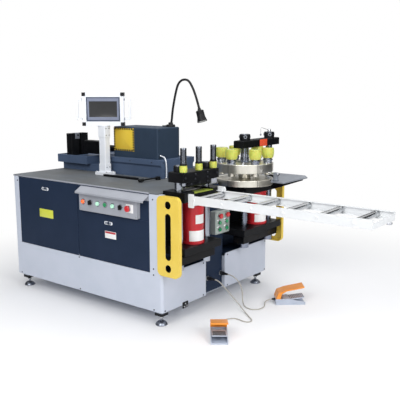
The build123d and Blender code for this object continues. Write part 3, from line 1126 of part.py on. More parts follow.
# Hydraulic unit: tank with lid, motor and pump, and the bending cylinder with its foot
TANK_LEFT = X_LEFT + TANK_X
TANK_NEAR = Y_FRONT + TANK_Y
TANK_Z = FLOOR_GAP + SHEET
LID_Z = TANK_Z + TANK_H + GASKET_T
GASKET_Z = LID_Z + TANK_LID_T + GASKET_T
TANK_MIDDLE = (TANK_LEFT + TANK_L / 2, TANK_NEAR + TANK_W / 2)
with BuildPart() as hydraulic_unit:
    with BuildSketch(Plane.XY.offset(TANK_Z)):
        with Locations(TANK_MIDDLE):
            RectangleRounded(TANK_L, TANK_W, TANK_R)
    extrude(amount=TANK_H)
    with BuildSketch(Plane.XY.offset(TANK_Z + SHEET)):
        with Locations(TANK_MIDDLE):
            RectangleRounded(TANK_L - 2 * SHEET, TANK_W - 2 * SHEET, TANK_R - SHEET)
    extrude(amount=TANK_H - SHEET, mode=Mode.SUBTRACT)
    with BuildSketch(Plane.XY.offset(LID_Z)):
        with Locations(TANK_MIDDLE):
            RectangleRounded(TANK_L + 2 * TANK_LID_LIP, TANK_W + 2 * TANK_LID_LIP, TANK_R)
    extrude(amount=TANK_LID_T)
    upright_bar(TANK_LEFT + MOTOR_INSET, TANK_MIDDLE[1], GASKET_Z, GASKET_Z + MOTOR_H, MOTOR_D)
    with Locations((TANK_LEFT + TANK_L - MOTOR_INSET, TANK_MIDDLE[1], GASKET_Z + PUMP_H / 2)):
        Box(PUMP_W, PUMP_W, PUMP_H)
    along_x(BARREL_LEFT, BARREL_LEFT + BARREL_L, RAM_AXIS_Y, RAM_AXIS_Z, BARREL_D)
    along_x(BARREL_LEFT, FORMER_RIGHT + BEND_ROD_L + BEND_STROKE + FREE_FIT, RAM_AXIS_Y, RAM_AXIS_Z,
            BEND_ROD_D + 2 * RUN_FIT, Mode.SUBTRACT)
    block(BARREL_LEFT + BARREL_L - BARREL_D, BARREL_LEFT + BARREL_L, RAM_AXIS_Y - BARREL_FOOT_W / 2,
          RAM_AXIS_Y + BARREL_FOOT_W / 2, LEDGE_TOP, RAM_AXIS_Z - BARREL_D / 4)
nodes["hydraulic_unit"] = hydraulic_unit


# Foot pedals: a base with cheeks, an orange hood fixed at its back, and a sprung treadle
def pedal_side(x, y, turn):
    """The vertical middle plane of a pedal: local x to the toe opening, local y up."""
    angle = radians(turn)
    return Plane(origin=(X_LEFT + x, Y_FRONT + y, 0), x_dir=(cos(angle), sin(angle), 0),
                 z_dir=(sin(angle), -cos(angle), 0))


PEDALS = {
    "cut": pedal_side(CUT_PEDAL_X, CUT_PEDAL_Y, CUT_PEDAL_TURN),
    "punch": pedal_side(PUNCH_PEDAL_X, PUNCH_PEDAL_Y, PUNCH_PEDAL_TURN),
}
TREADLE_W = PEDAL_W - 2 * PEDAL_CHEEK_T - 2 * TREADLE_GAP
TREADLE_END = PEDAL_L - TREADLE_T
with BuildPart() as pedal_bases:
    for side_plane in PEDALS.values():
        with BuildSketch(side_plane):
            with Locations((PEDAL_L / 2, PEDAL_BASE_T / 2)):
                Rectangle(PEDAL_L, PEDAL_BASE_T)
            with Locations((PEDAL_BACK_L / 2, PEDAL_BACK_H / 2)):
                Rectangle(PEDAL_BACK_L, PEDAL_BACK_H)
        extrude(amount=PEDAL_W / 2, both=True)
        for offset_z in (PEDAL_W / 2 - PEDAL_CHEEK_T, -PEDAL_W / 2):
            with BuildSketch(side_plane.offset(offset_z)):
                with BuildLine():
                    Polyline((0, 0), (PEDAL_L, 0), (PEDAL_L, PEDAL_BASE_T * 2),
                             (PEDAL_CHEEK_L, PEDAL_BACK_H), (0, PEDAL_BACK_H), close=True)
                make_face()
                with Locations((TREADLE_HINGE_X, TREADLE_HINGE_Z)):
                    Circle(TREADLE_PIN_D / 2 + RUN_FIT, mode=Mode.SUBTRACT)
            extrude(amount=PEDAL_CHEEK_T)
nodes["pedal_bases"] = pedal_bases

with BuildPart() as pedal_hoods:
    for side_plane in PEDALS.values():
        with BuildSketch(side_plane):
            with BuildLine():
                Polyline((0, PEDAL_BACK_H), (PEDAL_BACK_L / 2, PEDAL_BACK_H + PEDAL_HOOD_RISE / 2),
                         (PEDAL_HOOD_BACK, PEDAL_BACK_H + PEDAL_HOOD_RISE * 0.72),
                         (PEDAL_L - PEDAL_VISOR_T, PEDAL_BACK_H + PEDAL_HOOD_RISE),
                         (PEDAL_L - PEDAL_VISOR_T, PEDAL_BACK_H + PEDAL_HOOD_RISE - PEDAL_VISOR_T),
                         (PEDAL_HOOD_BACK, PEDAL_BACK_H + PEDAL_HOOD_RISE * 0.72 - PEDAL_VISOR_T),
                         (PEDAL_BACK_L + PEDAL_VISOR_T, PEDAL_BACK_H + PEDAL_HOOD_RISE / 2 - PEDAL_VISOR_T),
                         (PEDAL_BACK_L, PEDAL_BACK_H), close=True)
            make_face()
        extrude(amount=PEDAL_W / 2, both=True)
nodes["pedal_hoods"] = pedal_hoods

for name, side_plane in PEDALS.items():
    with BuildPart() as treadle:
        with BuildSketch(side_plane):
            with BuildLine():
                Polyline((TREADLE_HINGE_X, TREADLE_HINGE_Z), (TREADLE_HINGE_X, TREADLE_HINGE_Z + TREADLE_T),
                         (TREADLE_END, TREADLE_HINGE_Z + TREADLE_RISE + TREADLE_T),
                         (TREADLE_END, TREADLE_HINGE_Z + TREADLE_RISE), close=True)
            make_face()
            with Locations((TREADLE_HINGE_X, TREADLE_HINGE_Z)):
                Circle(TREADLE_BARREL_D / 2)
        extrude(amount=TREADLE_W / 2, both=True)
        with BuildSketch(side_plane):
            with Locations((TREADLE_HINGE_X, TREADLE_HINGE_Z)):
                Circle(TREADLE_PIN_D / 2)
        extrude(amount=PEDAL_W / 2, both=True)
    nodes[f"pedal_treadle_{name}"] = treadle

# Cord connectors on the recessed panel
CONNECTORS = {
    "cut": (X_PANEL, Y_NOTCH + CUT_CONNECTOR_INSET, CUT_CONNECTOR_Z),
    "punch": (X_PANEL, Y_NOTCH_END - PUNCH_CONNECTOR_INSET, PUNCH_CONNECTOR_Z),
}
with BuildPart() as connector:
    with BuildSketch(Plane.XZ):
        with BuildLine():
            Polyline((0, 0), (CONNECTOR_FLANGE_D / 2, 0), (CONNECTOR_FLANGE_D / 2, SHEET),
                     (CONNECTOR_NUT_D / 2, SHEET), (CONNECTOR_NUT_D / 2, CONNECTOR_L / 2),
                     (CONNECTOR_TAIL_D / 2 + SHEET, CONNECTOR_L / 2), (CONNECTOR_TAIL_D / 2, CONNECTOR_L),
                     (0, CONNECTOR_L), close=True)
        make_face()
    revolve(axis=Axis.Z)
with BuildPart() as cord_connectors:
    for x, y, z in CONNECTORS.values():
        with Locations(Location((x, y, z), (0, 90, 0))):
            add(connector.part)
nodes["cord_connectors"] = cord_connectors

# Cords: straight runs joined by arcs as large as the runs allow
ROUTES = {"cut": CUT_CORD_ROUTE, "punch": PUNCH_CORD_ROUTE}
for name, route in ROUTES.items():
    start = Vector(*CONNECTORS[name]) + Vector(CONNECTOR_L, 0, 0)
    finish = PEDALS[name].origin + Vector(0, 0, CORD_ENTRY_Z)
    approach = finish - PEDALS[name].x_dir * CORD_ENTRY_L
    points = [start] + [Vector(X_LEFT + x, Y_FRONT + y, z) for x, y, z in route] + [approach, finish]
    radii = []
    for before, here, after in zip(points, points[1:], points[2:]):
        turn = (here - before).get_angle(after - here)
        shorter = min((here - before).length, (after - here).length)
        radii.append(0.45 * shorter / tan(radians(turn) / 2))
    with BuildPart() as cord:
        with BuildLine() as cord_line:
            FilletPolyline(*points, radius=radii)
        with BuildSketch(Plane(origin=cord_line.line @ 0, z_dir=cord_line.line % 0)):
            Circle(CORD_D / 2)
        sweep(path=cord_line.line)
    length = cord_line.wire().length
    plain_volume = pi * CORD_D ** 2 / 4 * length
    print(f"{name} cord: length {length:.0f}, volume over section x length "
          f"{cord.part.volume / plain_volume:.4f}, radii", [round(radius) for radius in radii])
    nodes[f"pedal_cord_{name}"] = cord


def front_door(x0, x1, z1, lock_x):
    """A folded door pan with a full-round lower edge, two hinge pins and a lock."""
    pin_reach = DOOR_GAP + HINGE_TAB_T / 2
    lock_z = z1 - LOCK_DROP
    block(x0, x1, Y_FRONT, Y_FRONT + DOOR_T, HINGE_Z, z1)
    along_x(x0, x1, HINGE_Y, HINGE_Z, DOOR_T)
    block(x0 + DOOR_RIM, x1 - DOOR_RIM, Y_FRONT + DOOR_SKIN, Y_FRONT + DOOR_T,
          HINGE_Z + DOOR_RIM, z1 - DOOR_RIM, Mode.SUBTRACT)
    along_x(x0 - pin_reach, x1 + pin_reach, HINGE_Y, HINGE_Z, HINGE_PIN_D)
    along_y(lock_x, Y_FRONT, Y_FRONT + DOOR_SKIN, lock_z, LOCK_BARREL_D + 2 * RUN_FIT, Mode.SUBTRACT)
    along_y(lock_x, Y_FRONT - LOCK_FACE_T, Y_FRONT - RUN_FIT, lock_z, LOCK_D)
    along_y(lock_x, Y_FRONT - RUN_FIT, Y_FRONT + DOOR_T, lock_z, LOCK_BARREL_D)


seam_gap = HINGE_TAB_T / 2 + DOOR_GAP
with BuildPart() as front_door_left:
    front_door(X_OPEN + DOOR_GAP, X_SEAM - seam_gap, Z_TOP - SHEET - DOOR_GAP, X_LEFT + LEFT_LOCK_X)
nodes["front_door_left"] = front_door_left
with BuildPart() as front_door_right:
    front_door(X_SEAM + seam_gap, X_SHUT - DOOR_GAP, Z_HEADER - DOOR_GAP, X_LEFT + RIGHT_LOCK_X)
nodes["front_door_right"] = front_door_right

for name, node in nodes.items():
    node.part.label = name
    export_step(node.part, f"parts/{name}.step")
print(len(nodes), "nodes")
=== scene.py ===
"""Looks of a busbar processing machine: finishes, trim, cords, studio and camera.

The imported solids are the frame. Each sub-assembly class gives its solids their real finish and adds the
trim that is too small for them. Sizes and places are in millimetres, in the frame of the solids: +X along
the front to the conveyor, +Y to the back, +Z up, floor at 0. Only the studio counts in metres.
"""

import logging
import math
from collections.abc import Callable, Iterator, Sequence
from contextlib import contextmanager
from dataclasses import dataclass
from enum import Enum
from functools import partial
from typing import ClassVar

import bmesh
import bpy
from mathutils import Matrix, Vector

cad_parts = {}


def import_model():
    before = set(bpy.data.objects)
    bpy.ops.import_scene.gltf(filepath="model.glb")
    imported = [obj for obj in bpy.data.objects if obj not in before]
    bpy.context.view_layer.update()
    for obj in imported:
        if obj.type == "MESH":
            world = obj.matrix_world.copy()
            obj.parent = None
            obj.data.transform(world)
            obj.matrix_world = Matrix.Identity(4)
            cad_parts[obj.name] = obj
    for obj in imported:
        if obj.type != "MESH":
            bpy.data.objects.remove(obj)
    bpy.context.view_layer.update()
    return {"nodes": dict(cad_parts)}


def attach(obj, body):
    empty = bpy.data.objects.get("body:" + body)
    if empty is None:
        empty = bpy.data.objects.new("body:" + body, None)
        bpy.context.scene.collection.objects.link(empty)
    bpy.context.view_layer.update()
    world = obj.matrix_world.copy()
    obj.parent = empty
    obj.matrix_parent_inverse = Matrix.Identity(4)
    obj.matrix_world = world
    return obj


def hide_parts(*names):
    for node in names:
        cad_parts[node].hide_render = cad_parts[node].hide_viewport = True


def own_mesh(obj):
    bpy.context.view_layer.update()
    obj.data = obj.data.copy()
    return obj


MM = 0.001
SMOOTH = math.radians(40)
PIPE_SMOOTH = math.radians(50)
# How far out a thin plate starts that lies on a label.
ON_LABEL = 0.7
FRONT, BACK, RIGHT, UP = (0, -1, 0), (0, 1, 0), (1, 0, 0), (0, 0, 1)
LOG = logging.getLogger("busbar_machine")

Flat = tuple[float, float]
Point = tuple[float, float, float]
Piece = bpy.types.Object
Test = Callable[[Vector, Vector], bool]


# Finishes


def linear(code: str) -> tuple[float, float, float, float]:
    """Turns an sRGB hex colour into linear RGBA for a shader socket."""
    parts = (int(code[i:i + 2], 16) / 255 for i in (1, 3, 5))
    return (*(p / 12.92 if p <= 0.04045 else ((p + 0.055) / 1.055) ** 2.4 for p in parts), 1.0)


def fresh_tree(owner: bpy.types.Material | bpy.types.World) -> bpy.types.NodeTree:
    """Switches a material or a world to nodes.

    Args:
        owner: The material or world.

    Returns:
        Its node tree, emptied.
    """
    owner.use_nodes = True
    owner.node_tree.nodes.clear()
    return owner.node_tree


def add_node(tree: bpy.types.NodeTree, kind: str, values: dict | None = None, links: dict | None = None,
             **settings: object) -> bpy.types.Node:
    """Adds one shader node with its settings and links.

    Args:
        tree: The node tree that gets the node.
        kind: The node's type.
        values: Values of input sockets, by socket name or number.
        links: Output sockets that feed input sockets, by socket name or number.
        **settings: The node's own properties.

    Returns:
        The new node.
    """
    node = tree.nodes.new(kind)
    for key, value in settings.items():
        setattr(node, key, value)
    for key, value in (values or {}).items():
        node.inputs[key].default_value = value
    for key, socket in (links or {}).items():
        tree.links.new(socket, node.inputs[key])
    return node


class Lay(Enum):
    """Which way a surface's grain is drawn out, as factors on X, Y and Z: the smaller, the longer."""

    EVEN = (1.0, 1.0, 1.0)
    ALONG_X = (0.05, 1.0, 1.0)
    ALONG_Y = (1.0, 0.06, 1.0)
    ROUND_Z = (0.04, 0.04, 1.0)


@dataclass(frozen=True)
class Grain:
    """The fine relief that the making leaves: its width and depth in millimetres, and its lay."""

    width: float
    depth: float
    lay: Lay = Lay.EVEN


@dataclass(frozen=True)
class Finish:
    """A surface finish, from which one procedural material is made.

    The patches are the slow drift of colour and gloss over a used surface. Where an edge colour is given, the
    finish turns to it along all its edges, broken up by the patches: partly wear, partly a painted edge
    highlight. The slot names the record's slot for new pieces, but nothing here reads it; a solid already has
    its own.
    """

    name: str
    slot: str
    colour: str
    drift: str
    grain: Grain
    roughness: Flat
    metallic: float = 0.0
    specular: float = 0.5
    coat: float = 0.0
    subsurface: float = 0.0
    glow: float = 0.0
    wear_and_highlight: str = ""
    edge_mm: float = 2.0
    patch_mm: float = 140.0

    def material(self) -> bpy.types.Material:
        """Makes the material, or finds it if it is made already.

        Returns:
            The material with its nodes.
        """
        found = bpy.data.materials.get(self.name)
        if found:
            return found
        made = bpy.data.materials.new(self.name)
        node = partial(add_node, fresh_tree(made))
        place = node("ShaderNodeTexCoord").outputs["Object"]
        drawn = node("ShaderNodeMapping", {"Scale": self.grain.lay.value}, {"Vector": place}).outputs[0]
        grain = node("ShaderNodeTexNoise", {"Scale": 1 / (self.grain.width * MM), "Detail": 3.0},
                     {"Vector": drawn}).outputs[0]
        patches = node("ShaderNodeTexNoise", {"Scale": 1 / (self.patch_mm * MM), "Detail": 5.0},
                       {"Vector": place}).outputs[0]
        share = node("ShaderNodeMapRange", {"From Min": 0.35, "From Max": 0.65},
                     {"Value": patches}).outputs[0]
        colour = node("ShaderNodeMix", {6: linear(self.colour), 7: linear(self.drift)}, {0: share},
                      data_type="RGBA").outputs[2]
        low, high = self.roughness
        gloss = node("ShaderNodeMapRange", {"From Min": 0.3, "From Max": 0.7, "To Min": low, "To Max": high},
                     {"Value": grain if self.metallic else patches}).outputs[0]
        rounded = node("ShaderNodeBevel", {"Radius": self.edge_mm * MM}, samples=4).outputs["Normal"]
        # Edge colour along every edge, broken up by the patches: partly wear, partly a painted edge
        # highlight.
        if self.wear_and_highlight:
            true = node("ShaderNodeNewGeometry").outputs["Normal"]
            match = node("ShaderNodeVectorMath", links={0: rounded, 1: true}, operation="DOT_PRODUCT")
            edge = node("ShaderNodeMapRange",
                        {"From Min": 0.98, "From Max": 0.82, "To Min": 0.0, "To Max": 0.7},
                        {"Value": match.outputs["Value"]}).outputs[0]
            wear_and_highlight_share = node("ShaderNodeMath", links={0: edge, 1: share}, operation="MULTIPLY").outputs[0]
            colour = node("ShaderNodeMix", {7: linear(self.wear_and_highlight)}, {0: wear_and_highlight_share, 6: colour},
                          data_type="RGBA").outputs[2]
        bump = node("ShaderNodeBump", {"Strength": 0.7, "Distance": self.grain.depth * MM},
                    {"Height": grain, "Normal": rounded}).outputs["Normal"]
        skin = node("ShaderNodeBsdfPrincipled",
                    {"Metallic": self.metallic, "Specular IOR Level": self.specular, "Coat Weight": self.coat,
                     "Coat Roughness": 0.12, "Subsurface Weight": self.subsurface, "Subsurface Scale": 0.01},
                    {"Base Color": colour, "Roughness": gloss, "Normal": bump})
        if self.glow:
            skin.inputs["Emission Color"].default_value = linear(self.colour)
            skin.inputs["Emission Strength"].default_value = self.glow
        node("ShaderNodeOutputMaterial", links={"Surface": skin.outputs["BSDF"]})
        return made


PEEL = Grain(1.6, 0.03)
COARSE_PEEL = Grain(2.0, 0.04)
LATHE = Grain(1.2, 0.003, Lay.ROUND_Z)
SCREW_LATHE = Grain(0.8, 0.004, Lay.ROUND_Z)
MOULD = Grain(1.0, 0.02)
GLOSS_MOULD = Grain(1.0, 0.01)

# Powder coat on steel sheet: satin, with a fine orange peel about 1.6 mm across. The peel is finer than a
# pixel here, so it only softens the gloss.
CABINET_GREY = Finish("powder_coated_steel_light_grey", "cabinet_paint", "#c4cad7", "#c0c7d4", PEEL,
                      (0.42, 0.55), specular=0.3, wear_and_highlight="#e2e6ee")
NAVY = Finish("powder_coated_steel_navy", "navy_paint", "#253146", "#232f43", PEEL, (0.38, 0.5),
              specular=0.06, wear_and_highlight="#506286")
YELLOW = Finish("powder_coated_steel_yellow", "", "#e6c955", "#e0c14a", PEEL, (0.36, 0.48), wear_and_highlight="#f6e7a0")
WHITE = Finish("powder_coated_steel_white", "white_paint", "#f1f4f9", "#eaeef4", PEEL, (0.34, 0.46),
               wear_and_highlight="#ffffff")
RAIL_WHITE = Finish("powder_coated_rail_white", "white_paint", "#e4e6e7", "#dcdee0", PEEL, (0.34, 0.46),
                    wear_and_highlight="#f8f8f8")
PANEL_GREY = Finish("powder_coated_steel_mid_grey", "control_paint", "#a0a3ab", "#999ca4", PEEL,
                    (0.4, 0.52), wear_and_highlight="#c3c6cc")
# The same on thick plate: a coarser peel, and duller.
BED_BLUE = Finish("powder_coated_plate_blue", "", "#4d5d77", "#485871", COARSE_PEEL, (0.4, 0.52),
                  specular=0.2, wear_and_highlight="#7488a9")
# A darker copy of the bed's blue for the hood: painted shade, where the hood mirrors its dark surroundings.
HOOD_SLATE_PAINTED_SHADE = Finish("powder_coated_hood_slate_painted_shade", "", "#324052", "#2e3c4d", COARSE_PEEL, (0.4, 0.52),
                    specular=0.15, wear_and_highlight="#64768f")
TANK_GREY = Finish("painted_tank_steel", "", "#8f9398", "#84888e", COARSE_PEEL, (0.45, 0.6))
# Hammered paint on the table: shallow dimples, lighter along its edges, partly rubbed by bars that slide over
# it and partly a painted edge highlight.
TABLE_GREY = Finish("hammered_paint_grey", "", "#666b70", "#636566", Grain(5.0, 0.06), (0.42, 0.58),
                    specular=0.12, wear_and_highlight="#c2c4c6", patch_mm=260.0)
# Blasted plate: grey and dull, with a faint metal sheen.
PLATE_GREY = Finish("blasted_steel_plate", "tool_steel", "#8d929b", "#7f848d", Grain(3.0, 0.04),
                    (0.45, 0.6), metallic=0.35, wear_and_highlight="#c2c6cc")
# Blackened steel: milled blocks dipped in oxide, with a dull oily sheen.
BLACK_STEEL = Finish("black_oxide_steel", "black_paint", "#0c0d10", "#111215",
                     Grain(1.4, 0.02, Lay.ALONG_Y), (0.34, 0.5), specular=0.15, wear_and_highlight="#3a3c41", patch_mm=90.0)
# Painted cast iron: black, matt and a little uneven.
BLACK_IRON = Finish("black_painted_iron", "black_paint", "#17181a", "#1f2023", Grain(2.5, 0.08),
                    (0.45, 0.6), specular=0.2, wear_and_highlight="#46474a")
# Gloss enamel over the cylinders, with a clear deep surface.
RED_ENAMEL = Finish("gloss_enamel_red", "", "#cc2c34", "#be262f", Grain(6.0, 0.04), (0.18, 0.28),
                    specular=0.4, wear_and_highlight="#cf5a5f")
# Cast levelling pads, nickel-plated: a soft mirror over the casting's skin.
FOOT_GREY = Finish("nickel_plated_casting", "", "#868b95", "#7b808b", Grain(2.5, 0.03), (0.22, 0.34),
                   metallic=0.9, wear_and_highlight="#b4b9c6")
# Ground and turned steels: fine streaks along the tool's path, from dark posts to pale discs.
TOOL_STEEL = Finish("ground_tool_steel", "", "#b4b2ad", "#a5a29b", Grain(0.9, 0.008, Lay.ALONG_X),
                    (0.24, 0.4), metallic=1.0, wear_and_highlight="#dcdad6")
DISC_STEEL = Finish("turned_disc_steel", "", "#e6e3d9", "#dbd7ca", Grain(0.9, 0.003, Lay.ROUND_Z),
                    (0.28, 0.42), metallic=1.0, wear_and_highlight="#e4e2dd")
POST_STEEL = Finish("blackened_post_steel", "chrome_rod", "#71757d", "#666a72", LATHE, (0.2, 0.3),
                    metallic=1.0)
GUIDE_STEEL = Finish("ground_guide_steel", "", "#a9aeb8", "#9ea3ad", LATHE, (0.14, 0.24), metallic=1.0)
COLUMN_STEEL = Finish("hardened_column_steel", "chrome_rod", "#8d93a2", "#828897", LATHE, (0.2, 0.3),
                      metallic=1.0)
# Hard chrome: close to a mirror.
CHROME = Finish("hard_chrome_plate", "chrome_rod", "#c6c8ce", "#bbbdc4", Grain(1.2, 0.002, Lay.ROUND_Z),
                (0.09, 0.16), metallic=1.0)
# Zinc plate: bright, with a soft bloom.
ZINC = Finish("zinc_plated_steel", "roller_zinc", "#cbcdcf", "#bec0c3", Grain(2.0, 0.004, Lay.ALONG_Y),
              (0.12, 0.22), metallic=1.0)
# Screws, bright or blackened: turned heads that catch one small light each.
SCREW_STEEL = Finish("bright_screw_steel", "tool_steel", "#c3c5c8", "#b2b4b8", SCREW_LATHE, (0.22, 0.34),
                     metallic=1.0, edge_mm=0.4)
DARK_SCREW = Finish("blackened_screw_steel", "black_paint", "#2a2c33", "#22242a", SCREW_LATHE, (0.35, 0.5),
                    metallic=0.4, edge_mm=0.4)
# Cast polyurethane: waxy, a little light comes through it.
POLYURETHANE = Finish("cast_polyurethane", "polyurethane", "#cfd164", "#bfc351", Grain(9.0, 0.03),
                      (0.28, 0.4), subsurface=0.25, patch_mm=40.0)
# The cutter's support pad: the same rubber, dulled and darkened by swarf and oil.
PAD_GREEN = Finish("worn_polyurethane_pad", "polyurethane", "#98a63a", "#869433", Grain(4.0, 0.04),
                   (0.4, 0.55), patch_mm=30.0)
# Moulded plastics: spark-eroded texture under 0.5 mm, drawn at 1 mm so that it shows close up.
BLACK_PLASTIC = Finish("moulded_abs_black", "black_plastic", "#17171a", "#1c1c1f", MOULD, (0.38, 0.5),
                       specular=0.2, edge_mm=0.8)
BOX_PLASTIC = Finish("moulded_box_grey", "", "#aeb5b2", "#a6ada9", MOULD, (0.42, 0.52), edge_mm=1.5)
ORANGE_PLASTIC = Finish("moulded_hood_orange", "", "#f29a34", "#ea8e2a", MOULD, (0.3, 0.4), coat=0.2)
FRAME_PLASTIC = Finish("moulded_frame_blue_grey", "", "#7c8398", "#747b90", MOULD, (0.38, 0.48),
                       edge_mm=0.8)
TRIM_PLASTIC = Finish("moulded_trim_dark_blue", "", "#39445a", "#343e53", MOULD, (0.38, 0.48), edge_mm=0.8)
# Button caps: the same, polished.
button = partial(Finish, grain=GLOSS_MOULD, roughness=(0.22, 0.3), coat=0.3, edge_mm=0.8)
GREEN_PLASTIC = button("moulded_button_green", "", "#2e9a63", "#279058")
RED_PLASTIC = button("moulded_button_red", "", "#cf2a30", "#c0242b")
# Anodised face plate: pale green-grey with a silky sheen.
BOX_FACE = Finish("anodised_face_plate", "box_plastic", "#b4c3ba", "#abbab1",
                  Grain(1.2, 0.005, Lay.ALONG_Y), (0.36, 0.46), metallic=0.3, edge_mm=0.6)
# Painted die casting: even grey, lighter at its edges, partly rubbed by shoes and partly a painted edge
# highlight.
PEDAL_GREY = Finish("painted_die_casting", "", "#b9c1cf", "#aeb6c5", Grain(2.0, 0.05), (0.4, 0.52),
                    wear_and_highlight="#d3d8e0", patch_mm=60.0)
# Rubber: black and matt.
RUBBER = Finish("ribbed_black_rubber", "black_plastic", "#232427", "#2b2c30", Grain(1.5, 0.03), (0.55, 0.7),
                edge_mm=0.8)
# The cords' jackets: soft grey PVC with a low sheen.
CORD_PVC = Finish("pvc_cord_jacket_grey", "cord_jacket", "#b3afa6", "#a8a49b", Grain(1.2, 0.01),
                  (0.42, 0.52), patch_mm=30.0)
# Lit lens caps: clear plastic in front of a small lamp.
lit_lens = partial(Finish, grain=Grain(3.0, 0.02), roughness=(0.12, 0.2), coat=0.5, patch_mm=9.0)
AMBER_LENS = lit_lens("lit_lens_orange", "lamp_lens", "#ee5a2c", "#f5823c", glow=0.45)
PALE_LENS = lit_lens("lit_lens_pale_green", "lamp_lens", "#bfe8d2", "#8fd6b2", glow=0.3)
# Frosted glass: white and without a clear reflection.
LAMP_LENS = Finish("frosted_lamp_glass", "lamp_lens", "#e9ecee", "#dfe3e6", Grain(1.5, 0.03), (0.3, 0.4),
                   edge_mm=0.6)
# Tinted glass of the operator terminal: dark grey, with one clear reflection.
SCREEN_GLASS = Finish("tinted_screen_glass", "black_plastic", "#3a3a3b", "#3f3f40", Grain(30.0, 0.01),
                      (0.16, 0.22), specular=0.15)
# Bare label plates: printed vinyl with nothing on it, flat and satin.
vinyl = partial(Finish, grain=Grain(4.0, 0.01), roughness=(0.35, 0.45), edge_mm=0.4)
WHITE_LABEL = vinyl("bare_label_white", "white_paint", "#f3f3f2", "#ececeb")
RED_LABEL = vinyl("bare_label_red", "red_paint", "#c4303a", "#b92a34")
YELLOW_LABEL = vinyl("bare_label_yellow", "yellow_paint", "#e3c33d", "#dcb934")
BLACK_LABEL = vinyl("bare_label_black", "black_paint", "#1c1a16", "#242119")
ORANGE_LABEL = vinyl("bare_label_orange_red", "red_paint", "#e2532f", "#d8492a")
GREEN_LABEL = vinyl("bare_label_yellow_green", "yellow_paint", "#d7dc50", "#d0d546")


# Modelling by hand: starts, selections and finishing touches


def deselect() -> None:
    """Leaves edit mode and deselects everything."""
    if bpy.context.object and bpy.context.object.mode != "OBJECT":
        bpy.ops.object.mode_set(mode="OBJECT")
    bpy.ops.object.select_all(action="DESELECT")


def take(piece: Piece) -> None:
    """Selects one piece alone and makes it active.

    Args:
        piece: The piece.
    """
    deselect()
    piece.select_set(True)
    bpy.context.view_layer.objects.active = piece


def link(name: str, data: bpy.types.ID) -> Piece:
    """Puts a new object into the scene.

    Args:
        name: The object's name.
        data: Its mesh, curve, light or camera.

    Returns:
        The object.
    """
    piece = bpy.data.objects.new(name, data)
    bpy.context.scene.collection.objects.link(piece)
    return piece


def settle(name: str) -> Piece:
    """Names the piece that was just added and puts its place into its mesh.

    Args:
        name: The piece's name.

    Returns:
        The piece, at the origin.
    """
    piece = bpy.context.object
    piece.name = piece.data.name = name
    bpy.ops.object.transform_apply(location=True, rotation=True, scale=True)
    return piece


def block(name: str, low: Point, high: Point) -> Piece:
    """Starts a piece as a box.

    Args:
        name: The piece's name.
        low: Its lowest corner.
        high: Its highest corner.

    Returns:
        The box.
    """
    deselect()
    a, b = Vector(low) * MM, Vector(high) * MM
    bpy.ops.mesh.primitive_cube_add(size=1.0, location=(a + b) / 2, scale=b - a)
    return settle(name)


@contextmanager
def editing(piece: Piece) -> Iterator[None]:
    """Opens a piece in edit mode with nothing selected, and closes it again.

    Args:
        piece: The piece to shape.
    """
    take(piece)
    bpy.ops.object.mode_set(mode="EDIT")
    bpy.ops.mesh.select_mode(type="VERT")
    bpy.ops.mesh.select_all(action="DESELECT")
    yield
    bpy.ops.object.mode_set(mode="OBJECT")


def pick_faces(piece: Piece, test: Test) -> None:
    """Selects faces in edit mode.

    Args:
        piece: The piece in edit mode.
        test: Says for a face's centre in millimetres and its normal whether it is selected.
    """
    bpy.ops.mesh.select_mode(type="FACE")
    mesh = bmesh.from_edit_mesh(piece.data)
    mesh.normal_update()
    for face in mesh.faces:
        face.select_set(test(face.calc_center_median() / MM, face.normal))
    bmesh.update_edit_mesh(piece.data)


def looks_up(_: Vector, normal: Vector) -> bool:
    """Says whether a face looks along +Z."""
    return normal.z > 0.9


def round_edges(piece: Piece, test: Test, width: float, steps: int) -> None:
    """Bevels some of a piece's edges.

    Args:
        piece: The piece.
        test: Says for an edge's two ends in millimetres whether it is bevelled.
        width: The bevel's width.
        steps: Its steps: 1 for a flat chamfer, more for a rounding.
    """
    with editing(piece):
        bpy.ops.mesh.select_mode(type="EDGE")
        mesh = bmesh.from_edit_mesh(piece.data)
        for edge in mesh.edges:
            edge.select_set(test(edge.verts[0].co / MM, edge.verts[1].co / MM))
        bmesh.update_edit_mesh(piece.data)
        bpy.ops.mesh.bevel(offset=width * MM, segments=steps, affect="EDGES")


def extrude(x: float, y: float, z: float) -> None:
    """Extrudes what is selected in edit mode, in millimetres."""
    bpy.ops.mesh.extrude_region_move(TRANSFORM_OT_translate={"value": (x * MM, y * MM, z * MM)})


def soften(piece: Piece, width: float) -> Piece:
    """Rounds a piece's sharp edges and shades it smooth between them.

    Args:
        piece: The piece.
        width: The rounding's width.

    Returns:
        The same piece.
    """
    take(piece)
    bevel = piece.modifiers.new("edges", "BEVEL")
    bevel.width, bevel.segments = width * MM, 2
    bevel.limit_method, bevel.angle_limit = "ANGLE", SMOOTH
    bpy.ops.object.modifier_apply(modifier=bevel.name)
    bpy.ops.object.shade_smooth_by_angle(angle=SMOOTH)
    return piece


def plate(width: float, height: float, thickness: float, corner: float) -> Piece:
    """Makes a plate with round corners round the origin, its back on the XY plane.

    Args:
        width: Its size along X.
        height: Its size along Y.
        thickness: Its size along Z.
        corner: The radius of its corners.

    Returns:
        The plate.
    """
    piece = block("plate", (-width / 2, -height / 2, 0), (width / 2, height / 2, thickness))
    round_edges(piece, lambda a, b: (a - b).xy.length < 0.001, corner, 4)
    return soften(piece, thickness / 4)


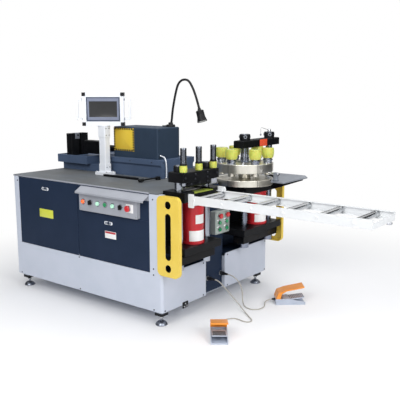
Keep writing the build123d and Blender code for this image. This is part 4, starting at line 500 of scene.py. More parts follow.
def turned(profile: Sequence[Flat], sides: int = 40, ring: bool = False) -> Piece:
    """Turns a piece about the Z axis: a circle is extruded from step to step of its profile.

    Args:
        profile: Radius and height of each step.
        sides: How many sides the circle has.
        ring: Whether the profile closes on itself, so that the piece is a ring.

    Returns:
        The turned piece.
    """
    deselect()
    radius, height = profile[0]
    bpy.ops.mesh.primitive_circle_add(vertices=sides, radius=radius * MM, location=(0, 0, height * MM),
                                      fill_type="NOTHING" if ring else "NGON")
    piece = settle("turned")
    steps = [*profile, profile[0]] if ring else profile
    with editing(piece):
        bpy.ops.mesh.select_all(action="SELECT")
        for (r0, z0), (r1, z1) in zip(steps, steps[1:]):
            extrude(0, 0, z1 - z0)
            bpy.ops.transform.resize(value=(r1 / r0, r1 / r0, 1), center_override=(0, 0, z1 * MM))
        bpy.ops.mesh.select_all(action="SELECT")
        bpy.ops.mesh.remove_doubles(threshold=0.00001)
        bpy.ops.mesh.normals_make_consistent(inside=False)
    take(piece)
    bpy.ops.object.shade_smooth_by_angle(angle=SMOOTH)
    return piece


def polar(radius: float, degrees: float) -> Flat:
    """Gives a point's X and Y from its distance and its angle from +X."""
    return radius * math.cos(math.radians(degrees)), radius * math.sin(math.radians(degrees))


def at(x: float, y: float, z: float, towards: Point = UP, turn: float = 0.0) -> Matrix:
    """Gives a place for a piece that was made round the origin.

    Args:
        x: Place along X.
        y: Place along Y.
        z: Place along Z.
        towards: The direction in which the piece's own Z then looks.
        turn: Degrees by which the piece is turned about its own Z.

    Returns:
        The place as a matrix.
    """
    aim = Vector(UP).rotation_difference(Vector(towards)).to_matrix().to_4x4()
    return Matrix.Translation(Vector((x, y, z)) * MM) @ aim @ Matrix.Rotation(math.radians(turn), 4, "Z")


def upright(origin: Point, turn: float, place: Point) -> Matrix:
    """Gives a place on something that stands upright and is turned about Z.

    Args:
        origin: Where the thing stands.
        turn: Its turn in degrees.
        place: The place on it: along it, up, and across it towards the front.

    Returns:
        The place as a matrix.
    """
    c, s = polar(1.0, turn)
    axes = Matrix(((c, 0, s, 0), (s, 0, -c, 0), (0, 1, 0, 0), (0, 0, 0, 1)))
    return Matrix.Translation(Vector(origin) * MM) @ axes @ Matrix.Translation(Vector(place) * MM)


def quarter(axis: str, turns: int) -> Matrix:
    """Gives a number of quarter turns about one axis."""
    return Matrix.Rotation(math.radians(90 * turns), 4, axis)


def copies(seed: Piece, name: str, places: Sequence[Matrix]) -> Piece:
    """Copies a piece to its places, each copy with its own mesh, and joins the copies.

    Args:
        seed: The piece that was modelled once, round the origin; it is used up.
        name: The joined piece's name.
        places: Where the copies go.

    Returns:
        The joined piece.
    """
    made = []
    for place in places:
        copy = link(name, seed.data.copy())
        copy.matrix_world = place
        made.append(copy)
    bpy.data.objects.remove(seed)
    deselect()
    for copy in made:
        copy.select_set(True)
    bpy.context.view_layer.objects.active = made[0]
    bpy.ops.object.transform_apply(location=True, rotation=True, scale=True)
    if len(made) > 1:
        bpy.ops.object.join()
    piece = bpy.context.object
    piece.name = piece.data.name = name
    return piece


def spline(name: str, route: Sequence[Point | Vector], diameter: float, rounds: int, steps: int) -> Piece:
    """Draws a round bar along a smooth line.

    Args:
        name: The piece's name.
        route: The points that the line is drawn to.
        diameter: The bar's diameter.
        rounds: How finely its section is divided.
        steps: How finely each stretch of its line is divided.

    Returns:
        The bar as a curve.
    """
    curve = bpy.data.curves.new(name, "CURVE")
    curve.dimensions = "3D"
    curve.bevel_depth, curve.bevel_resolution, curve.use_fill_caps = diameter / 2 * MM, rounds, True
    line = curve.splines.new("NURBS")
    line.points.add(len(route) - 1)
    for point, place in zip(line.points, route):
        point.co = (*(Vector(place) * MM), 1.0)
    line.order_u, line.use_endpoint_u, line.resolution_u = 3, True, steps
    return link(name, curve)


def pipe(name: str, route: Sequence[Point], diameter: float) -> Piece:
    """Makes a rigid bent pipe along a smooth line.

    Args:
        name: The piece's name.
        route: The points that the pipe's line is drawn to.
        diameter: The pipe's diameter.

    Returns:
        The pipe as a mesh.
    """
    take(spline(name, route, diameter, rounds=5, steps=10))
    bpy.ops.object.convert(target="MESH")
    bpy.ops.object.shade_smooth_by_angle(angle=PIPE_SMOOTH)
    return bpy.context.object


def tube_strip(name: str, radius: float, ends: Flat, axis: Flat, stays: Callable[[float], bool]) -> Piece:
    """Makes a strip of an upright tube's wall, one sheet thick.

    Args:
        name: The piece's name.
        radius: The tube's radius.
        ends: Its lower and upper edge.
        axis: Its axis along X and Y.
        stays: Says for an angle from +X, in degrees, whether the wall stays there.

    Returns:
        The strip.
    """
    deselect()
    middle = Vector((*axis, sum(ends) / 2)) * MM
    bpy.ops.mesh.primitive_cylinder_add(vertices=120, radius=radius * MM, depth=(ends[1] - ends[0]) * MM,
                                        end_fill_type="NOTHING", location=middle)
    strip = settle(name)
    with editing(strip):
        pick_faces(strip, lambda c, n: not stays(math.degrees(math.atan2(c.y - axis[1], c.x - axis[0]))))
        bpy.ops.mesh.delete(type="FACE")
    return strip


def pan_screw(diameter: float) -> Piece:
    """Models a low pan-head screw that stands on the XY plane."""
    steps = ((1, 0), (1, 0.16), (0.86, 0.4), (0.5, 0.5), (0.3, 0.5), (0.24, 0.25))
    return turned([(diameter / 2 * r, diameter / 2 * z) for r, z in steps], sides=16)


def cap_screw(diameter: float) -> Piece:
    """Models a socket-head cap screw that stands on the XY plane."""
    steps = ((1, 0), (1, 0.85), (0.9, 1), (0.58, 1), (0.54, 0.45))
    return turned([(diameter / 2 * r, diameter / 2 * z) for r, z in steps], sides=18)


def hex_nut(across: float, height: float) -> Piece:
    """Models a hexagon nut that stands on the XY plane.

    Args:
        across: Its width across flats.
        height: Its height.

    Returns:
        The nut.
    """
    r = across / 2 / math.cos(math.pi / 6)
    steps = ((1, 0), (1, 0.85), (0.9, 1), (0.5, 1), (0.5, 0.9))
    return soften(turned([(r * k, height * z) for k, z in steps], sides=6), across / 40)


# Sub-assemblies


@dataclass
class SubAssembly:
    """A group of solids with their finishes, and the pieces that are added to it."""

    coats: ClassVar[dict[str, Finish]] = {}
    nodes: dict[str, Piece]

    def build(self) -> None:
        """Models the pieces that are added."""

    def dress(self) -> None:
        """Gives each solid its finish."""
        for node, finish in self.coats.items():
            mesh = self.nodes[node].data
            mesh.materials.clear()
            mesh.materials.append(finish.material())
            LOG.info("%s: %s", node, finish.name)

    def keep(self, piece: Piece, finish: Finish, body: str = "base", stands_for: Sequence[str] = ()) -> Piece:
        """Gives a new piece its finish and the body that it rides on.

        Args:
            piece: The new piece.
            finish: Its finish.
            body: The body it rides on.
            stands_for: The solids that it is shown in place of.

        Returns:
            The same piece.
        """
        if not piece.data.materials:
            piece.data.materials.append(finish.material())
        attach(piece, body)
        if stands_for:
            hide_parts(*stands_for)
        LOG.info("%s: %s, %d faces", piece.name, finish.name, len(getattr(piece.data, "polygons", ())))
        return piece

    def add(self, name: str, seed: Piece, places: Sequence[Matrix], finish: Finish, body: str = "base",
            stands_for: Sequence[str] = ()) -> Piece:
        """Copies a seed to its places and keeps the copies as one piece."""
        return self.keep(copies(seed, name, places), finish, body, stands_for)


@dataclass(frozen=True)
class DoorTrim:
    """What a front door carries: its lock plate and its bare label, as places along X and Z."""

    side: str
    lock: Flat
    label: Flat
    label_size: Flat
    finish: Finish


@dataclass
class Cabinet(SubAssembly):
    """Sheet-metal cabinet with its doors, table, guards and feet."""

    coats = {
        "cabinet_shell": CABINET_GREY, "table_top": TABLE_GREY, "fixed_panels": NAVY,
        "front_door_left": NAVY, "front_door_right": NAVY, "side_guards": YELLOW,
        "levelling_feet": FOOT_GREY, "hydraulic_unit": TANK_GREY}
    front: float = -613.0
    back: float = 667.0
    end: float = 102.5
    post_screws: tuple[Flat, ...] = ((31, 857), (31, 397), (31, 356), (31, 117), (-692, 356), (-692, 117),
                                     (-1384, 857), (-1384, 117))
    cover_screws: tuple[Flat, ...] = ((-172, 350), (-172, 117), (122, 350), (122, 117), (-585, 117),
                                      (640, 350), (640, 117))
    feet: tuple[Flat, ...] = ((-1375.5, -551), (40.5, -551), (-1375.5, 605), (40.5, 605))
    foot_nut_z: float = 46.0
    foot_block_z: float = 65.2
    doors: tuple[DoorTrim, ...] = (
        DoorTrim("left", (-1047.5, 821), (-1046, 634), (158, 63), GREEN_LABEL),
        DoorTrim("right", (-379, 648), (-362.5, 566.5), (108, 50), WHITE_LABEL))
    label_band: Flat = (-362.5, 582)
    outlet: Flat = (-376.0, 103.0)
    rear_middle: Flat = (-667.5, 640.0)

    def build(self) -> None:
        """Models the screws, door trim, rear cover, outlet, the trim of the feet, and two strips along the
        table's front edge: a painted shade line under it and a painted highlight on it.
        """
        places = [at(x, self.front, z, FRONT) for x, z in self.post_screws]
        places += [at(self.end, y, z, RIGHT) for y, z in self.cover_screws]
        self.add("sheet_screws", pan_screw(11), places, DARK_SCREW)
        for door in self.doors:
            self.trim_door(door)
        x, z = self.label_band
        place = at(x, self.front - ON_LABEL, z, FRONT)
        self.add("door_label_band", plate(100, 13, 0.4, 1), [place], RED_LABEL, "door_right")
        self.cover_rear()
        self.fit_outlet()
        # A navy strip over the light flange edge under the table: painted shade, the dark line where the
        # table's edge shades it.
        strip = block("under_table_shade_strip", (-1367.5, -613.8, 886.2), (-0.5, -612.8, 889.8))
        self.keep(soften(strip, 0.3), NAVY)
        # A lighter grey strip on the table's front edge face: painted highlight along that edge.
        strip = block("table_edge_highlight_strip", (-1433, -613.9, 890.4), (-2, -612.9, 899.8))
        self.keep(soften(strip, 0.4), PANEL_GREY)
        self.add("foot_nuts", hex_nut(26, 11), [at(x, y, self.foot_nut_z) for x, y in self.feet], ZINC)
        foot = soften(block("foot_block", (-33, -33, 0), (33, 33, 20)), 3.0)
        self.add("foot_blocks", foot, [at(x, y, self.foot_block_z) for x, y in self.feet], BLACK_IRON)

    def trim_door(self, door: DoorTrim) -> None:
        """Models a door's lock plate with its two bosses, and its bare label.

        Args:
            door: What the door carries.
        """
        body, (x, z) = f"door_{door.side}", door.lock
        grip = plate(78, 23, 3.2, 11)
        with editing(grip):
            pick_faces(grip, lambda c, n: looks_up(c, n) and c.z > 3.1)
            bpy.ops.mesh.inset(thickness=4 * MM, depth=-1 * MM)
        self.add(f"lock_plate_{door.side}", grip, [at(x, self.front, z, FRONT)], WHITE, body)
        boss = turned([(9, 3), (9, 5.4), (7.8, 6.2), (3.2, 6.2), (3, 4.4)], sides=28)
        places = [at(x + dx, self.front, z, FRONT) for dx in (-20, 20)]
        self.add(f"lock_boss_{door.side}", boss, places, PLATE_GREY, body)
        x, z = door.label
        self.add(f"door_label_{door.side}", plate(*door.label_size, 0.8, 2), [at(x, self.front, z, FRONT)],
                 door.finish, body)

    def cover_rear(self) -> None:
        """Models the bolted service cover on the back, with its louvres."""
        x, z = self.rear_middle
        self.add("rear_cover", plate(980, 420, 1.5, 12), [at(x, self.back, z, BACK)], CABINET_GREY)
        louvre = block("louvre", (-70, -6, 0), (70, 6, 4))
        round_edges(louvre, lambda a, b: min(a.z, b.z) > 3.9 and max(a.y, b.y) < -5.9, 3.5, 4)
        round_edges(louvre, lambda a, b: min(a.z, b.z) > 3.9 and abs(a.x - b.x) < 0.01, 3, 3)
        skin = self.back + 1.4
        places = [at(x + dx, skin, z + dz, BACK) for dx in (-300, 300) for dz in range(-150, 151, 30)]
        self.add("rear_louvres", soften(louvre, 0.4), places, CABINET_GREY)
        places = [at(x + dx, skin, z + dz, BACK) for dx in (-470, 0, 470) for dz in (-192, 192)]
        self.add("rear_screws", pan_screw(9), places, DARK_SCREW)

    def fit_outlet(self) -> None:
        """Models the black outlet plate at the foot of the end cover, with its three ports."""
        y, z = self.outlet
        self.add("outlet_plate", plate(60, 44, 3, 6), [at(self.end, y, z, RIGHT, 90)], BLACK_PLASTIC)
        port = turned([(6.5, 0), (6.5, 3.4), (5.6, 4.4), (3.4, 4.4), (3.0, 1.2)], sides=24)
        places = [at(self.end + 2.8, y + dy, z + dz, RIGHT) for dy, dz in ((-3, 10), (-13, -10), (14, -10))]
        self.add("outlet_ports", port, places, ZINC)


@dataclass
class ControlPanel(SubAssembly):
    """Control box under the table's front edge."""

    coats = {
        "control_box": PANEL_GREY, "selector_left": BLACK_PLASTIC, "selector_right": BLACK_PLASTIC,
        "push_button": GREEN_PLASTIC, "emergency_stop": RED_PLASTIC, "pilot_lamps": PALE_LENS}
    face: float = -643.0
    height: float = 781.0
    places_x: tuple[float, ...] = (-592.5, -519.5, -446.5, -373.5, -300.5, -227.5, -154.5)
    lenses: tuple[tuple[int, Finish], ...] = ((0, AMBER_LENS), (2, PALE_LENS), (4, PALE_LENS))

    def build(self) -> None:
        """Models the bezels, the lit lenses, the stop's plate and the panel screws."""
        ring = turned([(15.5, 0), (20, 0), (20, 4), (18.8, 5.6), (16, 5.6)], ring=True)
        places = [at(x, self.face, self.height, FRONT) for x in self.places_x]
        self.add("control_bezels", ring, places, CHROME)
        for number, (place, finish) in enumerate(self.lenses, 1):
            lens = turned([(14.8, 0), (14.8, 3), (14.2, 3.4), (14.2, 7), (13.4, 9.5), (10.4, 11.8),
                           (5, 12.9)])
            seat = at(self.places_x[place], self.face - 5, self.height, FRONT)
            self.add(f"pilot_lens_{number}", lens, [seat], finish,
                     stands_for=["pilot_lamps"] if number == 1 else ())
        stop = at(self.places_x[-1] + 8, self.face, self.height, FRONT)
        self.add("stop_plate", plate(66, 58, 0.8, 3), [stop], WHITE_LABEL)
        corners = [at(x, self.face, z, FRONT) for x in (-627, -91) for z in (727, 829)]
        self.add("control_screws", pan_screw(8), corners, SCREW_STEEL)


@dataclass
class ButtonBox(SubAssembly):
    """Button box in the end recess."""

    coats = {f"box_button_{i}": GREEN_PLASTIC for i in range(1, 5)} | {
        "button_box": BOX_PLASTIC, "box_stop_left": RED_PLASTIC, "box_stop_right": RED_PLASTIC}
    face: float = 122.5
    middle: Flat = (28.0, 616.0)
    columns: Flat = (-14.0, 70.0)
    rows: Point = (665.0, 616.0, 567.0)

    def build(self) -> None:
        """Models the face plate, the bezels, pale plates at the white spots beside the lower buttons, and the
        screws.
        """
        my, mz = self.middle
        self.add("box_face_plate", plate(150, 158, 0.8, 5), [at(self.face, my, mz, RIGHT)], BOX_FACE)
        ring = turned([(14, 0), (18.4, 0), (18.4, 4), (17.4, 5.4), (14.4, 5.4)], ring=True)
        places = [at(self.face, y, z, RIGHT) for y in self.columns for z in self.rows]
        self.add("box_bezels", ring, places, CHROME)
        # Pale plates where white spots show beside the lower buttons.
        places = [at(self.face + 0.6, y - 14, z + 19, RIGHT, 90) for y in self.columns for z in self.rows[1:]]
        self.add("box_spot_plates", plate(30, 9, 0.6, 2), places, WHITE_LABEL)
        places = [at(self.face, my + dy, mz + dz, RIGHT) for dy in (-78, 78) for dz in (-74, 74)]
        self.add("box_screws", pan_screw(8), places, SCREW_STEEL)


@dataclass
class PressUnit(SubAssembly):
    """What the cutting and the punching unit share: column nuts and labels on their cylinders."""

    unit_x: float = 158.5
    barrel_r: float = 74.0

    def column_nut(self, radius: float, height: float) -> Piece:
        """Models a blackened column nut with a stepped top, round the origin."""
        return turned([(radius, 0), (radius, height - 4), (radius - 3, height), (radius - 9, height),
                       (radius - 10, height - 1.2)], sides=48)

    def wrap_label(self, name: str, y: float, ends: Flat, angles: Flat) -> None:
        """Wraps a bare label round a cylinder.

        Args:
            name: The piece's name.
            y: The cylinder's axis along Y.
            ends: The label's lower and upper edge.
            angles: Where it starts and ends, in degrees from +X.
        """
        label = tube_strip(name, self.barrel_r + 0.15, ends, (self.unit_x, y),
                           lambda angle: angles[0] <= angle <= angles[1])
        take(label)
        skin = label.modifiers.new("skin", "SOLIDIFY")
        skin.thickness, skin.offset = 0.6 * MM, 1.0
        bpy.ops.object.modifier_apply(modifier=skin.name)
        bpy.ops.object.shade_smooth_by_angle(angle=SMOOTH)
        self.keep(label, WHITE_LABEL)


@dataclass
class CuttingUnit(PressUnit):
    """Cutting press: deck, beam, blades and spring posts."""

    coats = {
        "press_frames": BLACK_STEEL, "press_cylinders": RED_ENAMEL, "lower_blade": TOOL_STEEL,
        "upper_blade": TOOL_STEEL, "cut_beam": BLACK_STEEL, "cut_rods": GUIDE_STEEL,
        "cut_springs": POLYURETHANE}
    axis: float = -363.0
    columns: Flat = (-506.0, -220.0)
    posts: Point = (-520.0, -363.0, -206.0)
    post_out: float = 52.0
    beam_top: float = 1036.0
    beam_face: float = 234.5
    holder_face: float = 234.4
    beam_bolts: tuple[Flat, ...] = ((-430, 1018), (-430, 988), (-301, 1018), (-301, 988), (-530, 1003),
                                    (-196, 1003))
    holder_bolts: tuple[Flat, ...] = ((-470, 958), (-385, 958), (-300, 958))

    def build(self) -> None:
        """Models the pad, the trim of the ram, the spring posts, the bolts and the bare labels."""
        pad = block("throat_pad", (187, -462.5, 898), (254, -263.5, 903))
        self.keep(soften(pad, 1.2), PAD_GREEN)
        self.trim_ram()
        self.stack_posts()
        bolts = [at(self.beam_face, y, z, RIGHT) for y, z in self.beam_bolts]
        bolts += [at(self.holder_face, y, z, RIGHT) for y, z in self.holder_bolts]
        self.add("cut_beam_bolts", cap_screw(15), bolts, DARK_SCREW, "cut_ram")
        self.wrap_label("cut_label_large", self.axis, ends=(570, 640), angles=(-70, 30))
        self.wrap_label("cut_label_small", self.axis, ends=(686, 745), angles=(-36, 20))

    def trim_ram(self) -> None:
        """Models the guide block, the blade holder and the column nuts with their tops."""
        guide = block("guide_block", (196, -258, 938.5), (240, -204, 970.8))
        with editing(guide):
            pick_faces(guide, looks_up)
            bpy.ops.mesh.inset(thickness=6 * MM)
            bpy.ops.transform.translate(value=(0, 0, -3 * MM))
        self.keep(soften(guide, 1.5), PANEL_GREY, "cut_ram")
        holder = block("blade_holder", (182, -505, 939.5), (self.holder_face, -262, 971.2))
        round_edges(holder, lambda a, b: max(a.z, b.z) < 940 and min(a.x, b.x) > 234, 8, 1)
        self.keep(soften(holder, 1.0), BLACK_STEEL, "cut_ram")
        places = [at(self.unit_x, y, self.beam_top) for y in self.columns]
        self.add("cut_column_nuts", self.column_nut(32, 39.6), places, BLACK_STEEL, "cut_ram")
        cover = turned([(17, 0), (17, 1.6), (15.6, 2.6), (9, 2.6), (8.4, 1.6)], sides=36)
        places = [at(self.unit_x, y, self.beam_top + 39) for y in self.columns]
        self.add("cut_nut_tops", cover, places, PLATE_GREY, "cut_ram")

    def stack_posts(self) -> None:
        """Models the spring posts: a bulging rubber spring, a washer and a grooved sleeve on each."""
        r, h, edge = 25, 45, 2.5
        spring = [(11.5, 0), (r - 2 * edge, 0), (r - edge * 0.7, edge * 0.6), (r - edge * 0.2, h * 0.25),
                  (r, h * 0.5), (r - edge * 0.2, h * 0.75), (r - edge * 0.7, h - edge * 0.6),
                  (r - 2 * edge, h), (11.5, h)]
        washer = [(10.4, 0), (24, 0), (24, 4), (20.4, 11.6), (10.4, 11.6)]
        sleeve = [(19.1, 0.4), (20.2, 0.4)]
        for groove in (12, 17, 48, 74, 79):
            sleeve += [(20.2, groove), (19.5, groove + 0.4), (19.5, groove + 1.6), (20.2, groove + 2)]
        sleeve += [(20.2, 96), (19.6, 97.4), (19.1, 97.4)]
        for name, profile, sides, z, finish, replaced in (
            ("cut_post_springs", spring, 48, self.beam_top, POLYURETHANE, ["cut_springs"]),
            ("cut_post_washers", washer, 40, self.beam_top + 44.6, BLACK_STEEL, ()),
            ("cut_post_sleeves", sleeve, 48, self.beam_top + 56.2, POST_STEEL, ()),
        ):
            places = [at(self.unit_x + self.post_out, y, z) for y in self.posts]
            self.add(name, turned(profile, sides, ring=True), places, finish, "cut_ram", replaced)


@dataclass
class PunchingUnit(PressUnit):
    """Punching press with its turret and support plate."""

    coats = {
        "punch_beam": BLACK_STEEL, "punch_rods": COLUMN_STEEL, "die_disc": DISC_STEEL,
        "punch_disc": DISC_STEEL, "turret_punches": BLACK_STEEL, "working_punch": BLACK_STEEL,
        "turret_springs": POLYURETHANE, "working_spring": POLYURETHANE, "support_plate": PLATE_GREY}
    axis: float = 416.5
    turret: float = 249.0
    station_r: float = 167.5
    station_angles: range = range(90, 450, 60)
    disc_r: float = 209.0
    disc_edges: tuple[Flat, ...] = ((873, 916), (968, 1029))
    bolt_circles: Flat = (186.0, 105.0)
    bolt_angles: range = range(0, 360, 60)
    columns: Flat = (249.0, 584.0)
    beam_top: float = 1188.3
    disc_top: float = 1030.0
    seat_top: float = 1052.0
    cap_top: float = 1135.0
    neck: float = 11.8
    spring_keep: float = 0.5
    beam_label: Point = (198.5, 440.0, 1161.5)
    sleeve_z: float = 1062.0
    plunger: Point = (470.0, 172.0, 974.0)
    plate_top: float = 925.3
    grub_angles: Point = (-52.0, 68.0, 188.0)

    def round_turret(self, radius: float, degrees: float) -> Flat:
        """Gives a place round the turret's axis."""
        dx, dy = polar(radius, degrees)
        return self.unit_x + dx, self.turret + dy

    def build(self) -> None:
        """Models the stations, the discs' trim, the column, the beam's trim and the index plunger."""
        self.fill_stations()
        self.trim_discs()
        self.trim_beam()
        self.hang_pin()
        place = at(*self.beam_label, RIGHT, 90)
        self.add("beam_plate", plate(100, 50, 0.8, 2), [place], ORANGE_LABEL, "punch_ram")
        self.wrap_label("punch_label_large", self.axis, ends=(552, 626), angles=(-66, 30))
        self.set_plunger()

    def cup_spring(self) -> Piece:
        """Models a turret spring, narrower at its seat than at its cap, round the origin."""
        r, h, bore = 45.5, 60.2, 21
        return turned([(bore, 0), (r * 0.78, 0), (r * 0.87, h * 0.06), (r * 0.95, h * 0.3), (r, h * 0.62),
                       (r, h * 0.86), (r * 0.97, h), (bore, h)], sides=48, ring=True)

    def fill_stations(self) -> None:
        """Models the springs, caps and seats of the six stations; the first is under the beam."""
        here, *around = (self.round_turret(self.station_r, angle) for angle in self.station_angles)
        base = self.seat_top + self.neck
        places = [at(*p, base) for p in around]
        self.add("turret_rubber_springs", self.cup_spring(), places, POLYURETHANE, "turret",
                 ["turret_springs"])
        working = self.add("working_rubber_spring", self.cup_spring(), [at(*here, base)], POLYURETHANE,
                           "turret", ["working_spring"])
        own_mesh(working)
        places = [at(*p, self.cap_top - 11.9) for p in around]
        self.add("turret_cap_screws", cap_screw(24), places, SCREW_STEEL, "turret")
        rim = [(39.2, 0), (44, 0), (44.6, 2), (44.2, 8), (42.4, 11.15), (13, 11.15), (13, 11.04),
               (39.2, 11.04)]
        for name, stations, body in (("turret_cap_rims", around, "turret"),
                                     ("working_cap_rim", [here], "punch_tool")):
            places = [at(*p, self.cap_top - 11) for p in stations]
            self.add(name, turned(rim, ring=True), places, POLYURETHANE, body)
        sleeve = turned([(26.4, 0.3), (31, 0.3), (31, 3), (29.4, 4), (36.9, 20.6), (36.9, 24), (35, 25.4),
                         (31, 25.4), (31, 34), (20.8, 34), (20.8, 22.2), (35, 22.2)], ring=True)
        places = [at(*p, self.seat_top - 22) for p in (here, *around)]
        self.add("seat_sleeves", sleeve, places, COLUMN_STEEL, "turret")

    def trim_discs(self) -> None:
        """Models the station marks on the discs' edges, the ring bolts and the flange."""
        mark = block("mark", (-0.5, -1.5, 0), (0.35, 1.5, 1))
        places = [at(*self.round_turret(self.disc_r, angle), low, turn=angle)
                  @ Matrix.Diagonal((1, 1, high - low, 1))
                  for angle in self.station_angles for low, high in self.disc_edges]
        self.add("station_marks", mark, places, DARK_SCREW, "turret")
        bolts = [at(*self.round_turret(radius, angle), self.disc_top)
                 for angle in self.bolt_angles for radius in self.bolt_circles]
        self.add("disc_bolts", cap_screw(16), bolts, SCREW_STEEL, "turret")
        flange = turned([(30.4, 0), (50, 0), (50, 4), (34, 6), (32, 8), (32, 36), (30.4, 36)], sides=56,
                        ring=True)
        place = at(self.unit_x, self.turret, self.disc_top)
        self.add("turret_flange", flange, [place], COLUMN_STEEL, "turret")

    def trim_beam(self) -> None:
        """Models the sleeve on the near column, and the column nuts with their grub screws and top."""
        sleeve = turned([(25.1, 0), (29.2, 0), (29.6, 1), (29.6, 73.3), (25.1, 73.3)], sides=56, ring=True)
        place = at(self.unit_x, self.turret, self.sleeve_z)
        self.add("ram_sleeve", sleeve, [place], COLUMN_STEEL, "punch_ram")
        places = [at(self.unit_x, y, self.beam_top) for y in self.columns]
        self.add("punch_column_nuts", self.column_nut(39, 44.6), places, BLACK_STEEL, "punch_ram")
        places = []
        for y in self.columns:
            for angle in self.grub_angles:
                dx, dy = polar(30, angle)
                places.append(at(self.unit_x + dx, y + dy, self.beam_top + 25, (*polar(1.0, angle), 0)))
        self.add("nut_grub_screws", cap_screw(26), places, PLATE_GREY, "punch_ram")
        place = at(self.unit_x, self.columns[0], self.beam_top + 43)
        self.add("punch_nut_top", hex_nut(30, 4), [place], SCREW_STEEL, "punch_ram")

    def hang_pin(self) -> None:
        """Models the bright cap on the far column nut, with its thin arm and the pin that hangs from it."""
        x, y, z = self.unit_x, self.columns[1], self.beam_top + 44
        cap = turned([(17, 0), (17, 4), (13, 6), (13, 17), (10, 22), (5, 25)], sides=32)
        self.add("arm_cap", cap, [at(x, y, z)], SCREW_STEEL, "punch_ram")
        bends = ((0, 15), (-30, 18), (-104, 37), (-118, 36), (-121, 14), (-121, -8))
        arm = pipe("pin_arm", [(x, y + dy, z + dz) for dy, dz in bends], 3.0)
        self.keep(arm, SCREW_STEEL, "punch_ram")
        pin = turned([(2, -16), (5.5, -13), (6.5, -8), (5.5, -3), (2, 0)], sides=20)
        self.add("hanging_pin", pin, [at(x, y - 121, z - 7)], PLATE_GREY, "punch_ram")

    def set_plunger(self) -> None:
        """Models the plunger that indexes the turret, drawn back, and its bracket on the support plate."""
        bracket = block("plunger_bracket", (-18, -14, 0), (18, 14, 12))
        with editing(bracket):
            pick_faces(bracket, looks_up)
            bpy.ops.mesh.inset(thickness=3 * MM)
            extrude(0, 0, 48)
        x, y, z = self.plunger
        aim = Vector((self.unit_x - x, self.turret - y, 0)).normalized()
        turn = math.degrees(math.atan2(aim.y, aim.x))
        self.add("plunger_bracket", soften(bracket, 1.2), [at(x, y, self.plate_top, turn=turn)], PLATE_GREY)
        body = turned([(8, -28), (10, -25), (10, -18), (6, -16), (6, 14), (9, 15), (9, 34), (6, 36), (6, 72),
                       (3, 76)], sides=28)
        self.add("index_plunger", body, [at(x, y, z, tuple(aim))], CHROME)


@dataclass
class Conveyor(SubAssembly):
    """Roller conveyor at the cutter's end."""

    coats = {"conveyor_frame": RAIL_WHITE} | {f"roller_{i}": ZINC for i in range(1, 7)}
    rails: tuple[tuple[float, Point], ...] = ((-522.0, FRONT), (-204.0, BACK))
    start: float = 252.5
    stop: float = 1457.5
    first_roller: float = 294.5
    roller_step: float = 212.0
    pin_z: float = 866.5
    bolt_x: Flat = (265.0, 286.0)
    bolt_z: Flat = (830.0, 896.0)

    def build(self) -> None:
        """Models the bolts, the roller pins' caps, the raised bracket and the clamp knob."""
        places = [at(x, y, z, side) for y, side in self.rails for x in self.bolt_x for z in self.bolt_z]
        self.add("conveyor_bolts", pan_screw(12), places, RAIL_WHITE)
        clip = turned([(9.5, 0), (9.5, 2.6), (8, 4), (3, 4.6)], sides=24)
        places = [at(self.first_roller + self.roller_step * i, y, self.pin_z, side)
                  for y, side in self.rails for i in range(6)]
        self.add("pin_clips", clip, places, RAIL_WHITE)
        bracket = block("rail_bracket", (self.start, -212, 889.6), (self.start + 60, -200, 916))
        round_edges(bracket, lambda a, b: min(a.x, b.x) > self.start + 59 and min(a.z, b.z) > 915, 14, 5)
        self.keep(soften(bracket, 1.0), RAIL_WHITE)
        knob = turned([(6, -27), (15, -27), (17, -24), (17, -17), (14, -14), (9, -12), (9, 0)], sides=20)
        self.add("clamp_knob", knob, [at(self.stop - 26, -215, 840)], CHROME)


